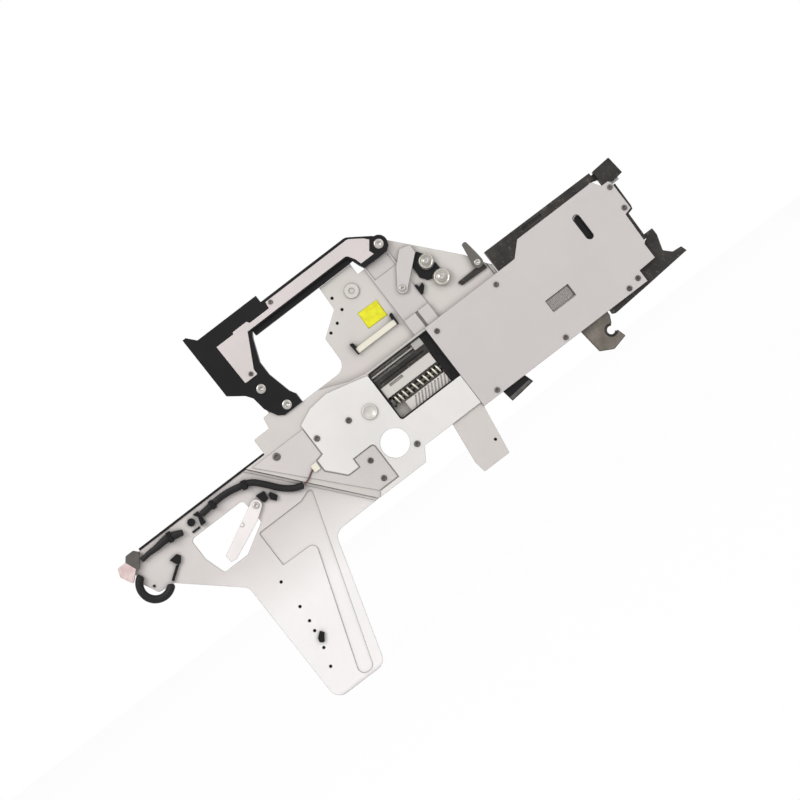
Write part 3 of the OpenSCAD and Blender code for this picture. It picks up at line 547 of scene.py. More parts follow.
@dataclass(frozen=True)
class Finish:
    """One finish: colour, mottle, small grain, an edge colour painted along the rims (a dark outline of painted shade
    on the light finishes, a lighter rim on the dark ones) and painted shade in corners.
    """

    name: str
    colour: Colour
    tint: Colour
    edge: Colour
    roughness: float = 0.45
    metallic: float = 0.0
    grain: Grain = Grain.CAST
    grain_scale: float = 900.0
    grain_depth: float = 0.00002
    grain_shade: float = 0.06
    edge_width: float = 0.0005
    # Share of the edge colour painted along the rims: a dark outline of painted shade on the light finishes, a lighter
    # rim on the dark ones
    edge_share: float = 0.6
    # Share of painted shade in corners, taken from the ambient occlusion mask
    corner_dirt: float = 0.5
    corner_reach: float = 0.005
    mottle_scale: float = 14.0
    speckle: float = 0.0
    coat: float = 0.0
    specular: float = 0.5
    # Painted light: a near-white colour the finish fades to towards the bottom, between these two heights, standing in
    # for strong light on the lower part
    fade: Colour | None = None
    fade_from: float = 0.03
    fade_to: float = -0.045

    def material(self) -> bpy.types.Material:
        """Builds the node material.

        The colour is the base colour mixed with its tint by slow noise, shaded by the grain, mixed with
        the edge colour where a rounded normal departs from the flat one, which on the light finishes is a
        painted dark outline standing in for the shade along the edges, and darkened in corners by how
        much of the sky they don't see, which is painted shade. Where the finish has a glare colour, its
        lower part is painted lighter, standing in for strong light there.

        Returns:
            The material.
        """
        b = Bench(self.name)
        where = b.add("ShaderNodeTexCoord").outputs["Object"]
        slow = b.span(b.noise(where, self.mottle_scale, 3.0), 0.32, 0.68)
        stretch = b.add("ShaderNodeMapping", Vector=where)
        stretch.inputs["Scale"].default_value = self.grain.value
        fine = b.noise(stretch.outputs[0], self.grain_scale, 6.0, 0.6)
        colour = b.mix(slow, self.colour, self.tint)
        # Painted light: the lower part fades to the glare colour by height
        if self.fade is not None:
            height = b.add("ShaderNodeSeparateXYZ", Vector=where).outputs["Z"]
            colour = b.mix(b.span(height, self.fade_from, self.fade_to), colour, self.fade)
        dark = tuple(v * (1 - 2.2 * self.grain_shade) for v in self.colour)
        colour = b.mix(b.span(fine, 0.42, 0.3, 0.0, min(1.0, 8 * self.grain_shade)), colour, dark)
        if self.speckle > 0:
            spots = b.span(b.noise(where, 260.0, 5.0, 0.7), 0.58, 0.66, 0.0, self.speckle)
            colour = b.mix(spots, colour, self.edge)
        flat = b.add("ShaderNodeNewGeometry").outputs["Normal"]
        bevel = b.tree.nodes.new("ShaderNodeBevel")
        bevel.samples = SHADER_SAMPLES
        bevel.inputs["Radius"].default_value = self.edge_width
        dot = b.tree.nodes.new("ShaderNodeVectorMath")
        dot.operation = "DOT_PRODUCT"
        b.join(dot, 0, flat)
        b.join(dot, 1, bevel.outputs[0])
        # Painted edge outline: the edge colour mixed in where the bevelled normal turns away, painted shade on the
        # light finishes, a lighter rim on the dark ones
        rim = b.span(dot.outputs["Value"], EDGE_FROM, EDGE_TO, 0.0, self.edge_share)
        colour = b.mix(rim, colour, self.edge)
        # Painted shade: corners and creases darkened by how little sky the ambient occlusion node sees
        sky = b.tree.nodes.new("ShaderNodeAmbientOcclusion")
        sky.samples = SHADER_SAMPLES
        sky.inputs["Distance"].default_value = self.corner_reach
        painted_corner_shade = b.span(sky.outputs["AO"], SKY_FROM, SKY_TO, 0.0, self.corner_dirt)
        colour = b.mix(painted_corner_shade, colour, tuple(CORNER_SHADE * v for v in self.colour))
        rough = b.span(b.noise(where, 45.0, 5.0), 0.3, 0.7, self.roughness - 0.07, self.roughness + 0.09)
        bump = b.add("ShaderNodeBump", Height=fine)
        bump.inputs["Strength"].default_value = 0.6
        bump.inputs["Distance"].default_value = self.grain_depth
        b.join(bump, "Normal", bevel.outputs[0])
        shader = b.add("ShaderNodeBsdfPrincipled", Base_Color=colour, Roughness=rough,
                       Normal=bump.outputs[0])
        shader.inputs["Metallic"].default_value = self.metallic
        shader.inputs["Coat Weight"].default_value = self.coat
        shader.inputs["Specular IOR Level"].default_value = self.specular
        out = b.tree.nodes.new("ShaderNodeOutputMaterial")
        b.join(out, "Surface", shader.outputs[0])
        return b.material


def plain(name: str, base: Sequence[int], tint: Sequence[int], edge: Sequence[int], **more: object) -> Finish:
    """Names a finish by display colours.

    Args:
        name: The finish's name.
        base: Base colour, in bytes.
        tint: Mottle colour, in bytes.
        edge: Edge colour, in bytes.
        **more: Other fields of Finish.

    Returns:
        The finish.
    """
    return Finish(name, linear(*base), linear(*tint), linear(*edge), **more)


FINISHES = {f.name: f for f in (
    plain("frame_aluminium", (208, 201, 198), (204, 201, 194), (112, 107, 103), roughness=0.42, metallic=0.35,
          grain=Grain.BRUSHED, grain_shade=0.025, edge_width=0.0008, edge_share=0.9, corner_reach=0.008),
    # The leg's lower part is painted near white, standing in for strong light there
    plain("leg_aluminium", (214, 207, 205), (207, 202, 198), (112, 108, 104), roughness=0.45, metallic=0.15,
          grain=Grain.BRUSHED, grain_shade=0.015, edge_width=0.0009, edge_share=0.95,
          fade=linear(243, 240, 239)),
    plain("arm_aluminium", (238, 232, 230), (226, 220, 217), (104, 98, 95), roughness=0.4, metallic=0.3,
          grain=Grain.BRUSHED, grain_shade=0.03, edge_width=0.0009, edge_share=0.95),
    plain("cover_grey", (196, 192, 190), (202, 195, 194), (112, 106, 103), roughness=0.5, metallic=0.2,
          grain=Grain.BRUSHED, grain_shade=0.022, mottle_scale=7.0, edge_width=0.0008, edge_share=0.85),
    plain("hub_white", (229, 226, 223), (221, 218, 215), (104, 100, 97), roughness=0.5, metallic=0.1,
          grain_shade=0.012, edge_width=0.0008, edge_share=0.9, corner_reach=0.008),
    plain("inset_grey", (208, 201, 200), (200, 195, 193), (100, 92, 89), roughness=0.45, metallic=0.3,
          grain=Grain.BRUSHED, grain_shade=0.035, edge_width=0.0008, edge_share=0.95),
    plain("handle_black", (27, 25, 27), (20, 19, 21), (66, 64, 65), roughness=0.42, grain_depth=0.00006,
          grain_shade=0.06, edge_share=0.55, specular=0.18),
    plain("handle_plate", (212, 202, 202), (204, 197, 194), (240, 234, 232), roughness=0.42, metallic=0.3,
          grain=Grain.BRUSHED, grain_shade=0.025),
    plain("cast_dark", (58, 55, 52), (38, 35, 34), (112, 105, 98), roughness=0.48, metallic=0.2,
          grain_depth=0.0001, grain_shade=0.1, mottle_scale=60.0, speckle=0.5, specular=0.3),
    plain("hook_bronze", (128, 120, 111), (98, 92, 85), (44, 41, 38), roughness=0.42, metallic=0.45,
          grain_depth=0.00008, grain_shade=0.08, mottle_scale=70.0, speckle=0.45, edge_width=0.0022,
          edge_share=0.95),
    plain("steel", (190, 187, 182), (170, 166, 162), (84, 80, 77), roughness=0.28, metallic=0.85,
          grain_shade=0.03, corner_dirt=0.85, corner_reach=0.0025),
    plain("screw_dark", (112, 107, 103), (88, 84, 81), (46, 44, 42), roughness=0.32, metallic=0.8,
          grain_shade=0.04, corner_dirt=0.9, corner_reach=0.003, edge_share=0.8),
    plain("rod_steel", (120, 117, 112), (92, 89, 86), (60, 58, 56), roughness=0.3, metallic=0.8,
          corner_dirt=0.9, corner_reach=0.008),
    plain("spring_steel", (226, 222, 204), (206, 202, 188), (120, 116, 106), roughness=0.25, metallic=0.55,
          grain_shade=0.02, edge_share=0.0, corner_dirt=0.8, corner_reach=0.004),
    plain("black_plastic", (25, 23, 23), (18, 17, 17), (62, 60, 58), roughness=0.45, edge_share=0.45,
          specular=0.2),
    plain("grey_plastic", (98, 94, 90), (78, 75, 72), (52, 50, 48), roughness=0.5, specular=0.3,
          mottle_scale=90.0, speckle=0.3),
    plain("white_plastic", (236, 231, 214), (226, 220, 204), (140, 134, 122), roughness=0.35, coat=0.3),
    plain("plug_pink", (224, 204, 202), (204, 178, 176), (138, 118, 116), roughness=0.45, mottle_scale=120.0,
          speckle=0.25),
    plain("cable_black", (26, 24, 25), (38, 35, 36), (60, 58, 58), roughness=0.55, grain=Grain.BRAID,
          grain_scale=1400.0, grain_depth=0.0001, grain_shade=0.1, edge_share=0.0, specular=0.25),
    plain("lead_brown", (112, 62, 52), (92, 50, 44), (60, 30, 26), roughness=0.45, edge_share=0.0),
    plain("gear_plastic", (222, 214, 194), (212, 204, 184), (160, 150, 130), roughness=0.4),
    plain("brass", (198, 166, 96), (182, 150, 84), (130, 104, 56), roughness=0.3, metallic=0.9),
    plain("board_green", (34, 96, 58), (28, 84, 50), (60, 120, 80), roughness=0.4, coat=0.3),
    plain("roller_steel", (200, 196, 186), (176, 172, 164), (88, 84, 80), roughness=0.3, metallic=0.7,
          corner_dirt=0.85, corner_reach=0.003, edge_share=0.8),
    plain("sticker_yellow", (234, 232, 34), (216, 210, 16), (186, 180, 40), roughness=0.5, edge_share=0.5,
          mottle_scale=160.0, grain_shade=0.05),
)}


@dataclass
class Paints:
    """Makes each finish's material once and puts it on nodes and pieces."""

    def __post_init__(self) -> None:
        """Starts with no material made."""
        self.made: dict[str, bpy.types.Material] = {}

    def get(self, name: str) -> bpy.types.Material:
        """The material of a finish, made on first use.

        Args:
            name: The finish's name.

        Returns:
            The material.
        """
        if name not in self.made:
            self.made[name] = FINISHES[name].material()
        return self.made[name]

    def wear(self, piece: bpy.types.Object, name: str) -> None:
        """Gives an object one finish in all its slots.

        Args:
            piece: The object.
            name: The finish's name.
        """
        piece.data.materials.clear()
        piece.data.materials.append(self.get(name))

    def fit(self, piece: bpy.types.Object, body: str, slot: str, replaces: Iterable[str] = (),
            finish: str = "") -> bpy.types.Object:
        """Finishes a new piece, and makes it ride on its body.

        Args:
            piece: The new piece.
            body: The body it moves with.
            slot: Name of a material slot in the record, whose finish it wears where no other is given.
            replaces: The solids it stands for.
            finish: The finish, where it isn't the slot's own.

        Returns:
            The piece.
        """
        self.wear(piece, finish or slot)
        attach(piece, body)
        if replaces:
            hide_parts(*replaces)
        LOG.info("%s on %s: %d faces", piece.name, body, len(piece.data.polygons))
        return piece


# ---------------------------------------------------------------------------- sub-assemblies


@dataclass
class Solids:
    """Gives every solid that stays in view the finish of its material slot."""

    frame: dict
    paints: Paints
    own: tuple = (("pull_rod", "rod_steel"), ("guide_pin", "cast_dark"), ("sensing_arm", "arm_aluminium"),
                  ("finger_lever", "rod_steel"), ("sprocket_gear", "black_plastic"))

    def dress(self) -> None:
        """Puts the slot's finish, or the solid's own where it has one, on each solid."""
        slots = {s["node"]: s["material_slot"] for s in self.frame["record"]["subparts"]}
        slots.update(self.own)
        for node, piece in self.frame["nodes"].items():
            self.paints.wear(piece, slots[node])
        LOG.info("%d solids dressed", len(slots))


@dataclass
class Fasteners:
    """Screw heads with recesses, in place of the plain ones of the solids."""

    paints: Paints
    head: float = 2.8
    head_t: float = 1.2
    front: tuple = ((6, 89), (-69, 88), (155, 97), (154, 72), (-57, 5), (29, 5), (109, 5), (122, 8))
    hub: tuple = ((-193, 71), (-229, 76), (-153, 11))
    inset: tuple = ((-200, 26), (-200, 4))
    deck: tuple = (-272, 86)
    handle: tuple = ((-243, 149), (-232, 121))
    plate: tuple = ((-183, 212), (-242, 167))
    thumb: tuple = (-171, 65)
    pin: tuple = (-62, 192.5)

    def row(self, shell: Shell, places: tuple, radius: float, base: float, height: float,
            shank: float = 1.4, length: float = 4.0) -> None:
        """Adds one screw at each place, each turned to its own angle.

        Args:
            shell: The collector.
            places: X and Z of each screw.
            radius: Radius of the heads.
            base: Y of the face they sit on.
            height: Height of the heads.
            shank: Radius of the shank.
            length: Length of the shank.
        """
        for i, at in enumerate(places):
            shell.recessed(at, radius, base - height, base, radius * 0.42, tilt=37.0 * i)
            shell.turned(at, [(shank, base - 0.05), (shank, base + length)], 16)

    def build(self) -> None:
        """Builds every fixed screw."""
        covers = Shell("cover_screw_heads")
        self.row(covers, self.front, self.head, COVER_Y, self.head_t)
        self.row(covers, self.hub, self.head + 0.4, COVER_Y, self.head_t)
        self.row(covers, self.inset, self.head + 0.2, INSET_Y, self.head_t)
        covers.recessed(self.deck, 4, INSET_Y - self.head_t, INSET_Y, 1.7)
        self.paints.fit(covers.make(), "frame", "steel", ["cover_screws"], "screw_dark")
        handle = Shell("handle_screw_heads")
        self.row(handle, self.handle, 5.0, HANDLE_Y, 1.5, length=14)
        self.paints.fit(handle.make(), "frame", "steel", ["handle_screws"])
        plate = Shell("handle_plate_screws")
        self.row(plate, self.plate, 2.4, HANDLE_Y, self.head_t, length=5)
        self.paints.fit(plate.make(), "frame", "steel", finish="screw_dark")
        pin = Shell("trigger_pin_head")
        pin.recessed(self.pin, 5.0, HANDLE_Y - 1, HANDLE_Y, 1.9, tilt=12.0)
        pin.turned(self.pin, [(2.99, HANDLE_Y - 0.05), (2.99, -HANDLE_Y)], 48)
        self.paints.fit(pin.make(), "frame", "steel", ["trigger_pin"])
        thumb = Shell("thumb_screw_head")
        top = COVER_Y - 2
        thumb.turned(self.thumb, [(3.9, FACE_Y), (3.9, COVER_Y), (7.6, COVER_Y), (8, COVER_Y - 0.4),
                                  (8, top + 0.5), (7.5, top), (6.6, top), (6.2, top + 0.35), (5.6, top + 1.1),
                                  (0.4, top + 1.1)], 72, 36, 0.02)
        self.paints.fit(thumb.make(), "frame", "frame_aluminium", ["thumb_screw"])


@dataclass
class Window:
    """The coil spring in the mechanism window, and a black bead along the window's edge that paints the shade at its
    rim.
    """

    paints: Paints
    start: float = -145.1
    end: float = -87.3
    y: float = -1.5
    z: float = 58.0
    outer: float = 6.0
    wire: float = 1.1
    turns: int = 10
    rim_x: tuple = (-150.3, -77.7)
    rim_z: tuple = (39.7, 94.8)
    rim_r: float = 3
    bead: float = 0.8

    def line(self) -> None:
        """Builds the black bead along the window's edge, which paints the shade at the rim."""
        (x0, x1), (z0, z1), r = self.rim_x, self.rim_z, self.rim_r
        rim = rounded([(x0, z0, r), (x1, z0, r), (x1, z1, r), (x0, z1, r)], 8)
        path = np.stack([rim[:, 0], np.full(len(rim), FACE_Y - self.bead), rim[:, 1]], -1)
        # Painted shade: a black bead round the window's rim
        shade_bead = Shell("window_shade_bead").swept(path, np.full(len(path), self.bead), 10, loop=True)
        self.paints.fit(shade_bead.make(), "frame", "black_plastic")

    def build(self) -> None:
        """Builds the spring: a helix whose end turns lie flat, swept with a round wire."""
        mid = self.outer - self.wire
        count = self.turns * 40
        t = np.linspace(0, 1, count)
        ease = t - 0.035 * np.sin(2 * math.pi * t)
        x = self.start + self.wire + (self.end - self.start - 2 * self.wire) * ease
        angle = 2 * math.pi * self.turns * t
        path = np.stack([x, self.y + mid * np.cos(angle), self.z + mid * np.sin(angle)], -1)
        ahead = np.gradient(path, axis=0)
        ahead /= np.linalg.norm(ahead, axis=1)[:, None]
        out = np.stack([np.zeros(count), np.cos(angle), np.sin(angle)], -1)
        side = np.cross(ahead, out)
        turn = np.linspace(0, 2 * math.pi, 12, endpoint=False)
        rings = path[:, None, :] + self.wire * (np.cos(turn)[None, :, None] * out[:, None, :]
                                                + np.sin(turn)[None, :, None] * side[:, None, :])
        piece = self.paints.fit(Shell("coil_spring").loft(rings).make(), "frame", "spring_steel",
                                ["return_spring"])
        self.line()
        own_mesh(piece)


@dataclass
class TapePath:
    """Peel rollers with fluted faces and their caps, and the screws of the levers."""

    paints: Paints
    rollers: tuple = ((-35, 150, 7.5, "upper_roller", "upper_roll"), (-32, 128, 8.5, "lower_roller", "lower_roll"))
    width: float = 6.0
    link: tuple = (-70, 143)
    finger: tuple = (5, 118)
    arm: tuple = (-318, 60)

    def build(self) -> None:
        """Builds the rollers, their caps and the lever screws."""
        far = WEB_Y - 1.2
        for x, z, r, node, body in self.rollers:
            near = far - self.width
            shell = Shell(node + "_turned")
            shell.turned((x, z), [(2.05, far), (r - 0.5, far), (r, far - 0.5), (r, far - 2), (r * 0.93, far - 2.3),
                                  (r * 0.93, far - 3.7), (r, far - 4), (r, near + 0.5), (r - 0.5, near),
                                  (r * 0.82, near), (r * 0.76, near + 0.6), (r * 0.62, near + 0.6),
                                  (r * 0.56, near), (r * 0.53, near - 0.6), (2.05, near - 0.6)], 64, 16, 0.03)
            self.paints.fit(shell.make(), body, "roller_steel", [node])
        caps = Shell("roller_caps")
        for x, z, *_ in self.rollers:
            caps.turned((x, z), [(2.02, -8.85), (3.1, -8.85), (3.1, -9.4), (2.7, -9.8), (1.2, -9.9), (1.0, -9.75),
                                 (0.2, -9.72)], 40)
        self.paints.fit(caps.make(), "frame", "steel")
        for at, seat, floor, node in ((self.link, LINK_Y, WEB_Y - 2, "link_screw"),
                                      (self.finger, LINK_Y, WEB_Y, "finger_screw"),
                                      (self.arm, WEB_Y - 3.5, WEB_Y, "arm_screw")):
            shell = Shell(node + "_head")
            shell.recessed(at, 3.4, seat - 1.2, seat, 1.5)
            shell.turned(at, [(2, seat - 0.05), (2, floor), (1.45, floor), (1.45, floor + 5)], 24)
            self.paints.fit(shell.make(), "frame", "steel", [node])


@dataclass
class Cables:
    """The braided harness and the loop at the rear end."""

    paints: Paints
    sleeve: tuple = ((-367, 86), (-340, 88), (-320, 85), (-308, 81), (-298, 71), (-288, 59), (-278, 51),
                     (-268, 47))
    bundle: tuple = ((-442, 86, 2.8), (-432, 87, 2.8), (-422, 87, 3.4), (-410, 88, 4.2), (-401, 86, 4.3),
                     (-392, 83, 3))
    sleeve_r: float = 3.5
    loop_at: tuple = (-445, 59.5)
    loop_r: float = 16.0
    loop_wire: float = 4.3
    loop_span: tuple = (115, 320)
    samples: int = 160
    loop_sides: int = 32
    step: float = 0.5

    def braid(self, shell: Shell, knots: np.ndarray, sides: int = 40) -> None:
        """Adds a braided sleeve: a tube whose radius rises and falls with two crossed helices.

        Args:
            shell: The collector.
            knots: X, Y, Z and radius of each knot.
            sides: Points round the sleeve.
        """
        path = smooth_path(knots, self.step)
        along = np.arange(len(path))[:, None] * self.step
        angle = np.linspace(0, 2 * math.pi, sides, endpoint=False)[None, :]
        weave = np.abs(np.sin(5 * angle + along * 1.7)) + np.abs(np.sin(5 * angle - along * 1.7))
        radius = path[:, 3:4] * (0.95 + 0.025 * weave)
        radius[0], radius[-1] = radius[0] * 0.6, radius[-1] * 0.5
        shell.swept(path[:, :3], radius, sides)

    def build(self) -> None:
        """Builds the harness and the loop."""
        harness = Shell("harness_braid")
        self.braid(harness, np.array([(x, CABLE_Y, z, self.sleeve_r) for x, z in self.sleeve]))
        self.braid(harness, np.array([(x, CABLE_Y, z, r) for x, z, r in self.bundle]))
        self.paints.fit(harness.make(), "frame", "cable_black", ["harness_sleeve"])
        loop = Shell("cable_loop_wrapped")
        angle = np.radians(np.linspace(*self.loop_span, self.samples))
        ring = np.stack([self.loop_at[0] + self.loop_r * np.cos(angle), np.full(self.samples, CABLE_Y),
                         self.loop_at[1] + self.loop_r * np.sin(angle)], -1)
        place = np.linspace(0, 1, self.samples)[:, None]
        around = np.linspace(0, 2 * math.pi, self.loop_sides, endpoint=False)[None, :]
        strands = 0.03 * np.abs(np.sin(2 * around + 9 * place)) + 0.012 * np.sin(2 * math.pi * 34 * place)
        ends = 1 - 0.35 * np.clip(1 - np.minimum(place, 1 - place) / 0.05, 0, 1) ** 2
        loop.swept(ring, self.loop_wire * (0.95 + strands) * ends, self.loop_sides)
        self.paints.fit(loop.make(), "frame", "cable_black", ["cable_loop"])


@dataclass
class Label:
    """The bare yellow sticker on the upper plate."""

    paints: Paints
    x: tuple = (-121.5, -98.0)
    z: tuple = (131.5, 150.5)

    def build(self) -> None:
        """Builds a thin sheet that follows the plate and lifts by a tenth at one corner."""
        rows, cols = 24, 24
        u, v = np.meshgrid(np.linspace(0, 1, cols), np.linspace(0, 1, rows))
        x = self.x[0] + (self.x[1] - self.x[0]) * u + 0.5 * v
        z = self.z[0] + (self.z[1] - self.z[0]) * v - 0.5 * u
        lift = 0.05 + 0.05 * np.sin(5 * u + 2 * v) ** 2 + 0.35 * np.clip(u + v - 1.7, 0, 1)
        front = np.stack([x, WEB_Y - 0.1 - lift, z], -1)
        back = np.stack([x, np.full_like(x, WEB_Y - 0.01), z], -1)
        size = rows * cols
        quads = [[r * cols + c, r * cols + c + 1, (r + 1) * cols + c + 1, (r + 1) * cols + c]
                 for r in range(rows - 1) for c in range(cols - 1)]
        rim = ([r * cols for r in range(rows)] + [(rows - 1) * cols + c for c in range(1, cols)]
               + [r * cols + cols - 1 for r in range(rows - 2, -1, -1)] + list(range(cols - 2, 0, -1)))
        faces = quads + [[i + size for i in f[::-1]] for f in quads]
        faces += [[a, b, b + size, a + size] for a, b in zip(rim, rim[1:] + rim[:1])]
        points = np.concatenate([front.reshape(-1, 3), back.reshape(-1, 3)])
        piece = to_mesh("plate_label", points, faces, True)
        self.paints.fit(piece, "frame", "frame_aluminium", finish="sticker_yellow")


@dataclass
class CoverTrim:
    """The ribbed insert in the front cover, a black rim in its view slot that paints the shade inside the slot, and a
    dark ring in the hook's mouth that paints the shade there.
    """

    paints: Paints
    insert_x: tuple = (34.6, 62.4)
    insert_z: tuple = (33.2, 46.0)
    slot_at: tuple = (109.5, 82.0)
    slot_half: float = 10.6
    slot_r: float = 3.5
    mouth: tuple = (70.0, -17.0)
    mouth_r: float = 6.45
    mouth_span: tuple = (55, 318)
    # Width of the dark ring that paints the shade in the hook's mouth
    mouth_shade_ring_t: float = 2.2
    ribs: int = 15
    steps: int = 60

    def build(self) -> None:
        """Builds the insert, the slot's black rim and the hook's dark ring, both painted shade."""
        frame = Shell("cover_insert", smooth=False)
        (x0, x1), (z0, z1) = self.insert_x, self.insert_z
        for a, b, c, d in ((x0, x1, z1 - 0.9, z1), (x0, x1, z0, z0 + 0.5), (x0, x0 + 0.5, z0, z1),
                           (x1 - 1.1, x1, z0, z1)):
            frame.plate(np.array([(a, c), (b, c), (b, d), (a, d)]), COVER_Y - 0.12, COVER_Y + 0.3, 0.1)
        self.paints.fit(frame.make(), "frame", "inset_grey", finish="screw_dark")
        ribs = Shell("cover_insert_ribs", smooth=False)
        for x in np.linspace(x0 + 1.6, x1 - 2.2, self.ribs):
            ribs.plate(np.array([(x, z0 + 1.2), (x + 0.7, z0 + 1.2), (x + 0.7, z1 - 1.6), (x, z1 - 1.6)]),
                       COVER_Y - 0.1, COVER_Y + 0.3, 0.12)
        self.paints.fit(ribs.make(), "frame", "inset_grey")
        # Painted shade: a black bead round the view slot's wall
        rim = Shell("slot_shade_rim")
        x, z = self.slot_at
        up = np.radians(np.linspace(0, 180, 24))
        ends = [np.stack([x + s * self.slot_r * np.cos(up), z + s * (self.slot_half + self.slot_r * np.sin(up))], -1)
                for s in (1, -1)]
        rail = np.concatenate(ends)
        path = np.stack([rail[:, 0], np.full(len(rail), COVER_Y + 0.3), rail[:, 1]], -1)
        rim.swept(path, np.full(len(path), 0.55), 10, loop=True)
        self.paints.fit(rim.make(), "frame", "black_plastic")
        # Painted shade: a dark ring inside the hook's mouth
        mouth_shade_ring = Shell("hook_mouth_shade_ring")
        turn = np.radians(np.linspace(*self.mouth_span, self.steps))
        inner, outer = self.mouth_r - self.mouth_shade_ring_t, self.mouth_r
        block = [(inner, -3.6), (outer, -3.9), (outer, 3.9), (inner, 3.6)]
        rings = np.stack([np.stack([self.mouth[0] + r * np.cos(turn), np.full(self.steps, y),
                                    self.mouth[1] + r * np.sin(turn)], -1) for r, y in block], 1)
        mouth_shade_ring.loft(rings)
        self.paints.fit(mouth_shade_ring.make(), "hook", "hook_bronze", finish="cast_dark")


@dataclass
class Trim:
    """Dark set screws in the tapped holes, which paint the shade inside the holes, the bracket's tongue, the clip on
    the rear edge and the base connector.
    """

    paints: Paints
    leg_holes: tuple = ((-345, -16), (-345, -47), (-346, -64), (-348, -75), (-351, -94), (-357, -113))
    plate_holes: tuple = ((-132, 178), (-131, 163), (-143, 155), (-154, 151))
    stub_hole: tuple = (-88.3, -33)
    screw_r: float = 1.5

    def build(self) -> None:
        """Builds each of them as its own piece."""
        # Painted shade: black set screws sit inside the holes to darken them
        screws = Shell("hole_shade_set_screws")
        for hole in (*self.leg_holes, *self.plate_holes):
            screws.recessed(hole, self.screw_r, 0.2, 4.9, 0.6, dome=0.03)
        screws.recessed(self.stub_hole, self.screw_r, -7.0, -2.1, 0.6, dome=0.03)
        self.paints.fit(screws.make(), "frame", "black_plastic")
        tongue = Shell("bracket_tongue", smooth=False)
        tongue.plate(np.array([(11, 98), (15.4, 98), (15.4, 108), (11, 113)]), WEB_Y, 5.0, 0.2)
        self.paints.fit(tongue.make(), "frame", "frame_aluminium")
        clip = Shell("edge_clip", smooth=False)
        clip.plate(np.array([(-224, 37), (-223, 34.8), (-220, 34.5), (-219, 36.5), (-215, 36.5), (-214, 39),
                             (-225, 39)]), FACE_Y - 1.9, FACE_Y - 0.9, 0.15)
        self.paints.fit(clip.make(), "frame", "black_plastic")
        block = Shell("edge_connector", smooth=False)
        block.plate(np.array([(-51, -13), (-40, -12), (-23, -10), (-26, 0), (-53, 0)]), -7.0, 7.0, 0.3)
        self.paints.fit(block.make(), "frame", "black_plastic", ["base_connector"])
        skirt = Shell("connector_skirt", smooth=False)
        skirt.plate(np.array([(-50.5, -12.2), (-40, -11.2), (-24.5, -9.4), (-25.5, -6), (-51, -8.5)]), -7.3, -6.9, 0.1)
        self.paints.fit(skirt.make(), "frame", "black_plastic", finish="grey_plastic")


# ---------------------------------------------------------------------------- stage


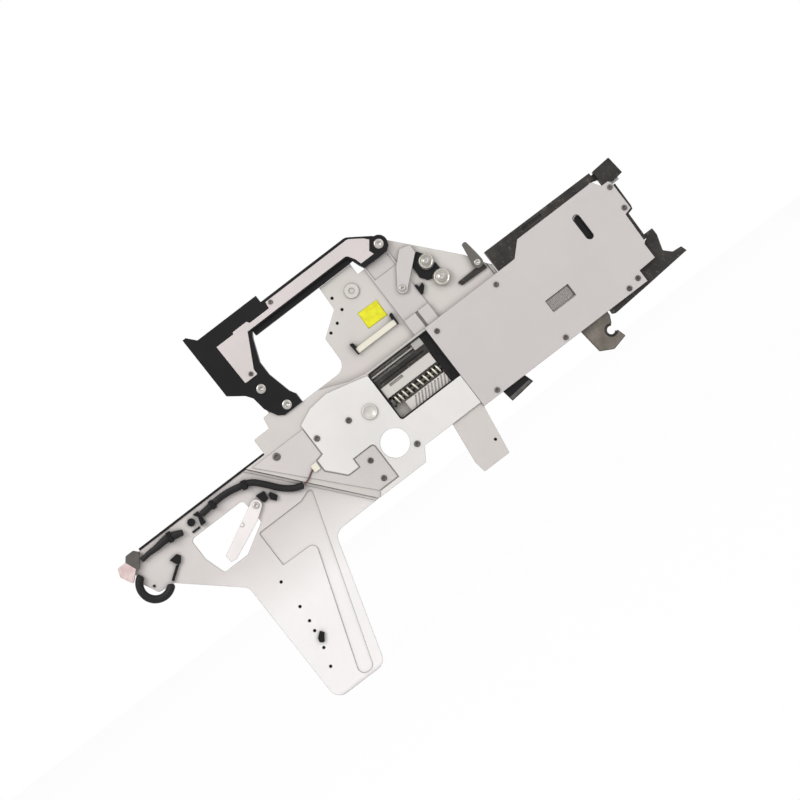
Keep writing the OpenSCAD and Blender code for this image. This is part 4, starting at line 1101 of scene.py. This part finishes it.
@dataclass
class Stage:
    """White surround, pale floor, soft lamps and a long-lens camera square to the covers."""

    roll: float = 37.5
    middle: tuple = (-0.140, 0.0, 0.056)
    distance: float = 2.6667
    lens: float = 120.0
    ambient: float = 0.5
    floor_glow: float = 0.96
    lamps: tuple = (("key", (-1.3, -1.9, 1.7), 1.4, 34.0), ("fill", (1.5, -2.0, 0.6), 1.6, 12.0),
                    ("rear", (0.2, 2.0, 1.8), 1.6, 18.0))

    def camera(self) -> None:
        """Sets the camera: +X of the feeder points to the upper right by the roll angle."""
        data = bpy.data.cameras.new("view")
        data.lens = self.lens
        data.sensor_width = 36.0
        camera = bpy.data.objects.new("view", data)
        bpy.context.scene.collection.objects.link(camera)
        a = math.radians(self.roll)
        right = np.array([math.cos(a), 0, -math.sin(a)])
        up = np.array([math.sin(a), 0, math.cos(a)])
        back = np.cross(right, up)
        place = np.array(self.middle) + back * self.distance
        rows = np.column_stack([right, up, back, place])
        camera.matrix_world = Matrix([*rows.tolist(), [0, 0, 0, 1]])
        bpy.context.scene.camera = camera

    def world(self) -> None:
        """A world that is white to the eye and in reflections, and lights at a plain level."""
        world = bpy.data.worlds.new("surround")
        world.use_nodes = True
        tree = world.node_tree
        tree.nodes.clear()
        path = tree.nodes.new("ShaderNodeLightPath")
        seen = tree.nodes.new("ShaderNodeMath")
        seen.operation = "MAXIMUM"
        tree.links.new(path.outputs["Is Camera Ray"], seen.inputs[0])
        tree.links.new(path.outputs["Is Transmission Ray"], seen.inputs[1])
        both = tree.nodes.new("ShaderNodeMath")
        both.operation = "MAXIMUM"
        tree.links.new(seen.outputs[0], both.inputs[0])
        tree.links.new(path.outputs["Is Glossy Ray"], both.inputs[1])
        light = tree.nodes.new("ShaderNodeBackground")
        light.inputs[0].default_value = (1, 1, 1, 1)
        light.inputs[1].default_value = self.ambient
        white = tree.nodes.new("ShaderNodeBackground")
        white.inputs[0].default_value = (1, 1, 1, 1)
        white.inputs[1].default_value = 1.0
        mix = tree.nodes.new("ShaderNodeMixShader")
        tree.links.new(both.outputs[0], mix.inputs[0])
        tree.links.new(light.outputs[0], mix.inputs[1])
        tree.links.new(white.outputs[0], mix.inputs[2])
        out = tree.nodes.new("ShaderNodeOutputWorld")
        tree.links.new(mix.outputs[0], out.inputs[0])
        bpy.context.scene.world = world

    def floor(self, low: float) -> None:
        """A pale floor under the leg, nearly white to the eye, that keeps the feeder's shadow.

        Args:
            low: Height of the feeder's lowest point.
        """
        size = 4000.0
        corners = np.array([(-size, -size, low), (size, -size, low), (size, size, low), (-size, size, low)])
        piece = to_mesh("floor", corners, [[0, 1, 2, 3]], False)
        b = Bench("floor_white")
        path = b.add("ShaderNodeLightPath")
        seen = b.maths("MAXIMUM", path.outputs["Is Camera Ray"], path.outputs["Is Glossy Ray"])
        seen = b.maths("MAXIMUM", seen, path.outputs["Is Transmission Ray"])
        matt = b.add("ShaderNodeBsdfDiffuse")
        matt.inputs[0].default_value = (0.86, 0.86, 0.86, 1)
        glow = b.add("ShaderNodeEmission")
        glow.inputs[0].default_value = (1, 1, 1, 1)
        mix = b.tree.nodes.new("ShaderNodeMixShader")
        b.join(mix, 0, b.maths("MULTIPLY", seen, self.floor_glow))
        b.join(mix, 1, matt.outputs[0])
        b.join(mix, 2, glow.outputs[0])
        out = b.tree.nodes.new("ShaderNodeOutputMaterial")
        b.join(out, "Surface", mix.outputs[0])
        piece.data.materials.append(b.material)
        piece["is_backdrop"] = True

    def lamp(self, name: str, place: Sequence[float], size: float, power: float) -> None:
        """Adds a square area lamp aimed at the feeder's middle.

        Args:
            name: The lamp's name.
            place: Where it stands.
            size: Side of the square.
            power: Power in watts.
        """
        data = bpy.data.lights.new(name, "AREA")
        data.size = size
        data.energy = power
        lamp = bpy.data.objects.new(name, data)
        bpy.context.scene.collection.objects.link(lamp)
        back = np.array(place) - np.array(self.middle)
        back /= np.linalg.norm(back)
        right = np.cross([0, 0, 1], back)
        right /= np.linalg.norm(right)
        up = np.cross(back, right)
        rows = np.column_stack([right, up, back, np.array(place)])
        lamp.matrix_world = Matrix([*rows.tolist(), [0, 0, 0, 1]])

    def build(self, low: float) -> None:
        """Builds the whole stage.

        Args:
            low: Height of the feeder's lowest point.
        """
        bpy.context.scene.view_settings.view_transform = "Standard"
        self.camera()
        self.world()
        self.floor(low)
        for lamp in self.lamps:
            self.lamp(*lamp)


def main() -> None:
    """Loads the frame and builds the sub-assemblies in order."""
    logging.basicConfig(level=logging.INFO, format="%(name)s: %(message)s")
    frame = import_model()
    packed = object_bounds()
    low, _ = packed
    paints = Paints()
    Stage().build(low[2] / MM)
    Solids(frame, paints).dress()
    for part in (Fasteners(paints), Window(paints), TapePath(paints), Cables(paints), Label(paints),
                 CoverTrim(paints), Trim(paints)):
        part.build()


if __name__ == "__main__":
    main()
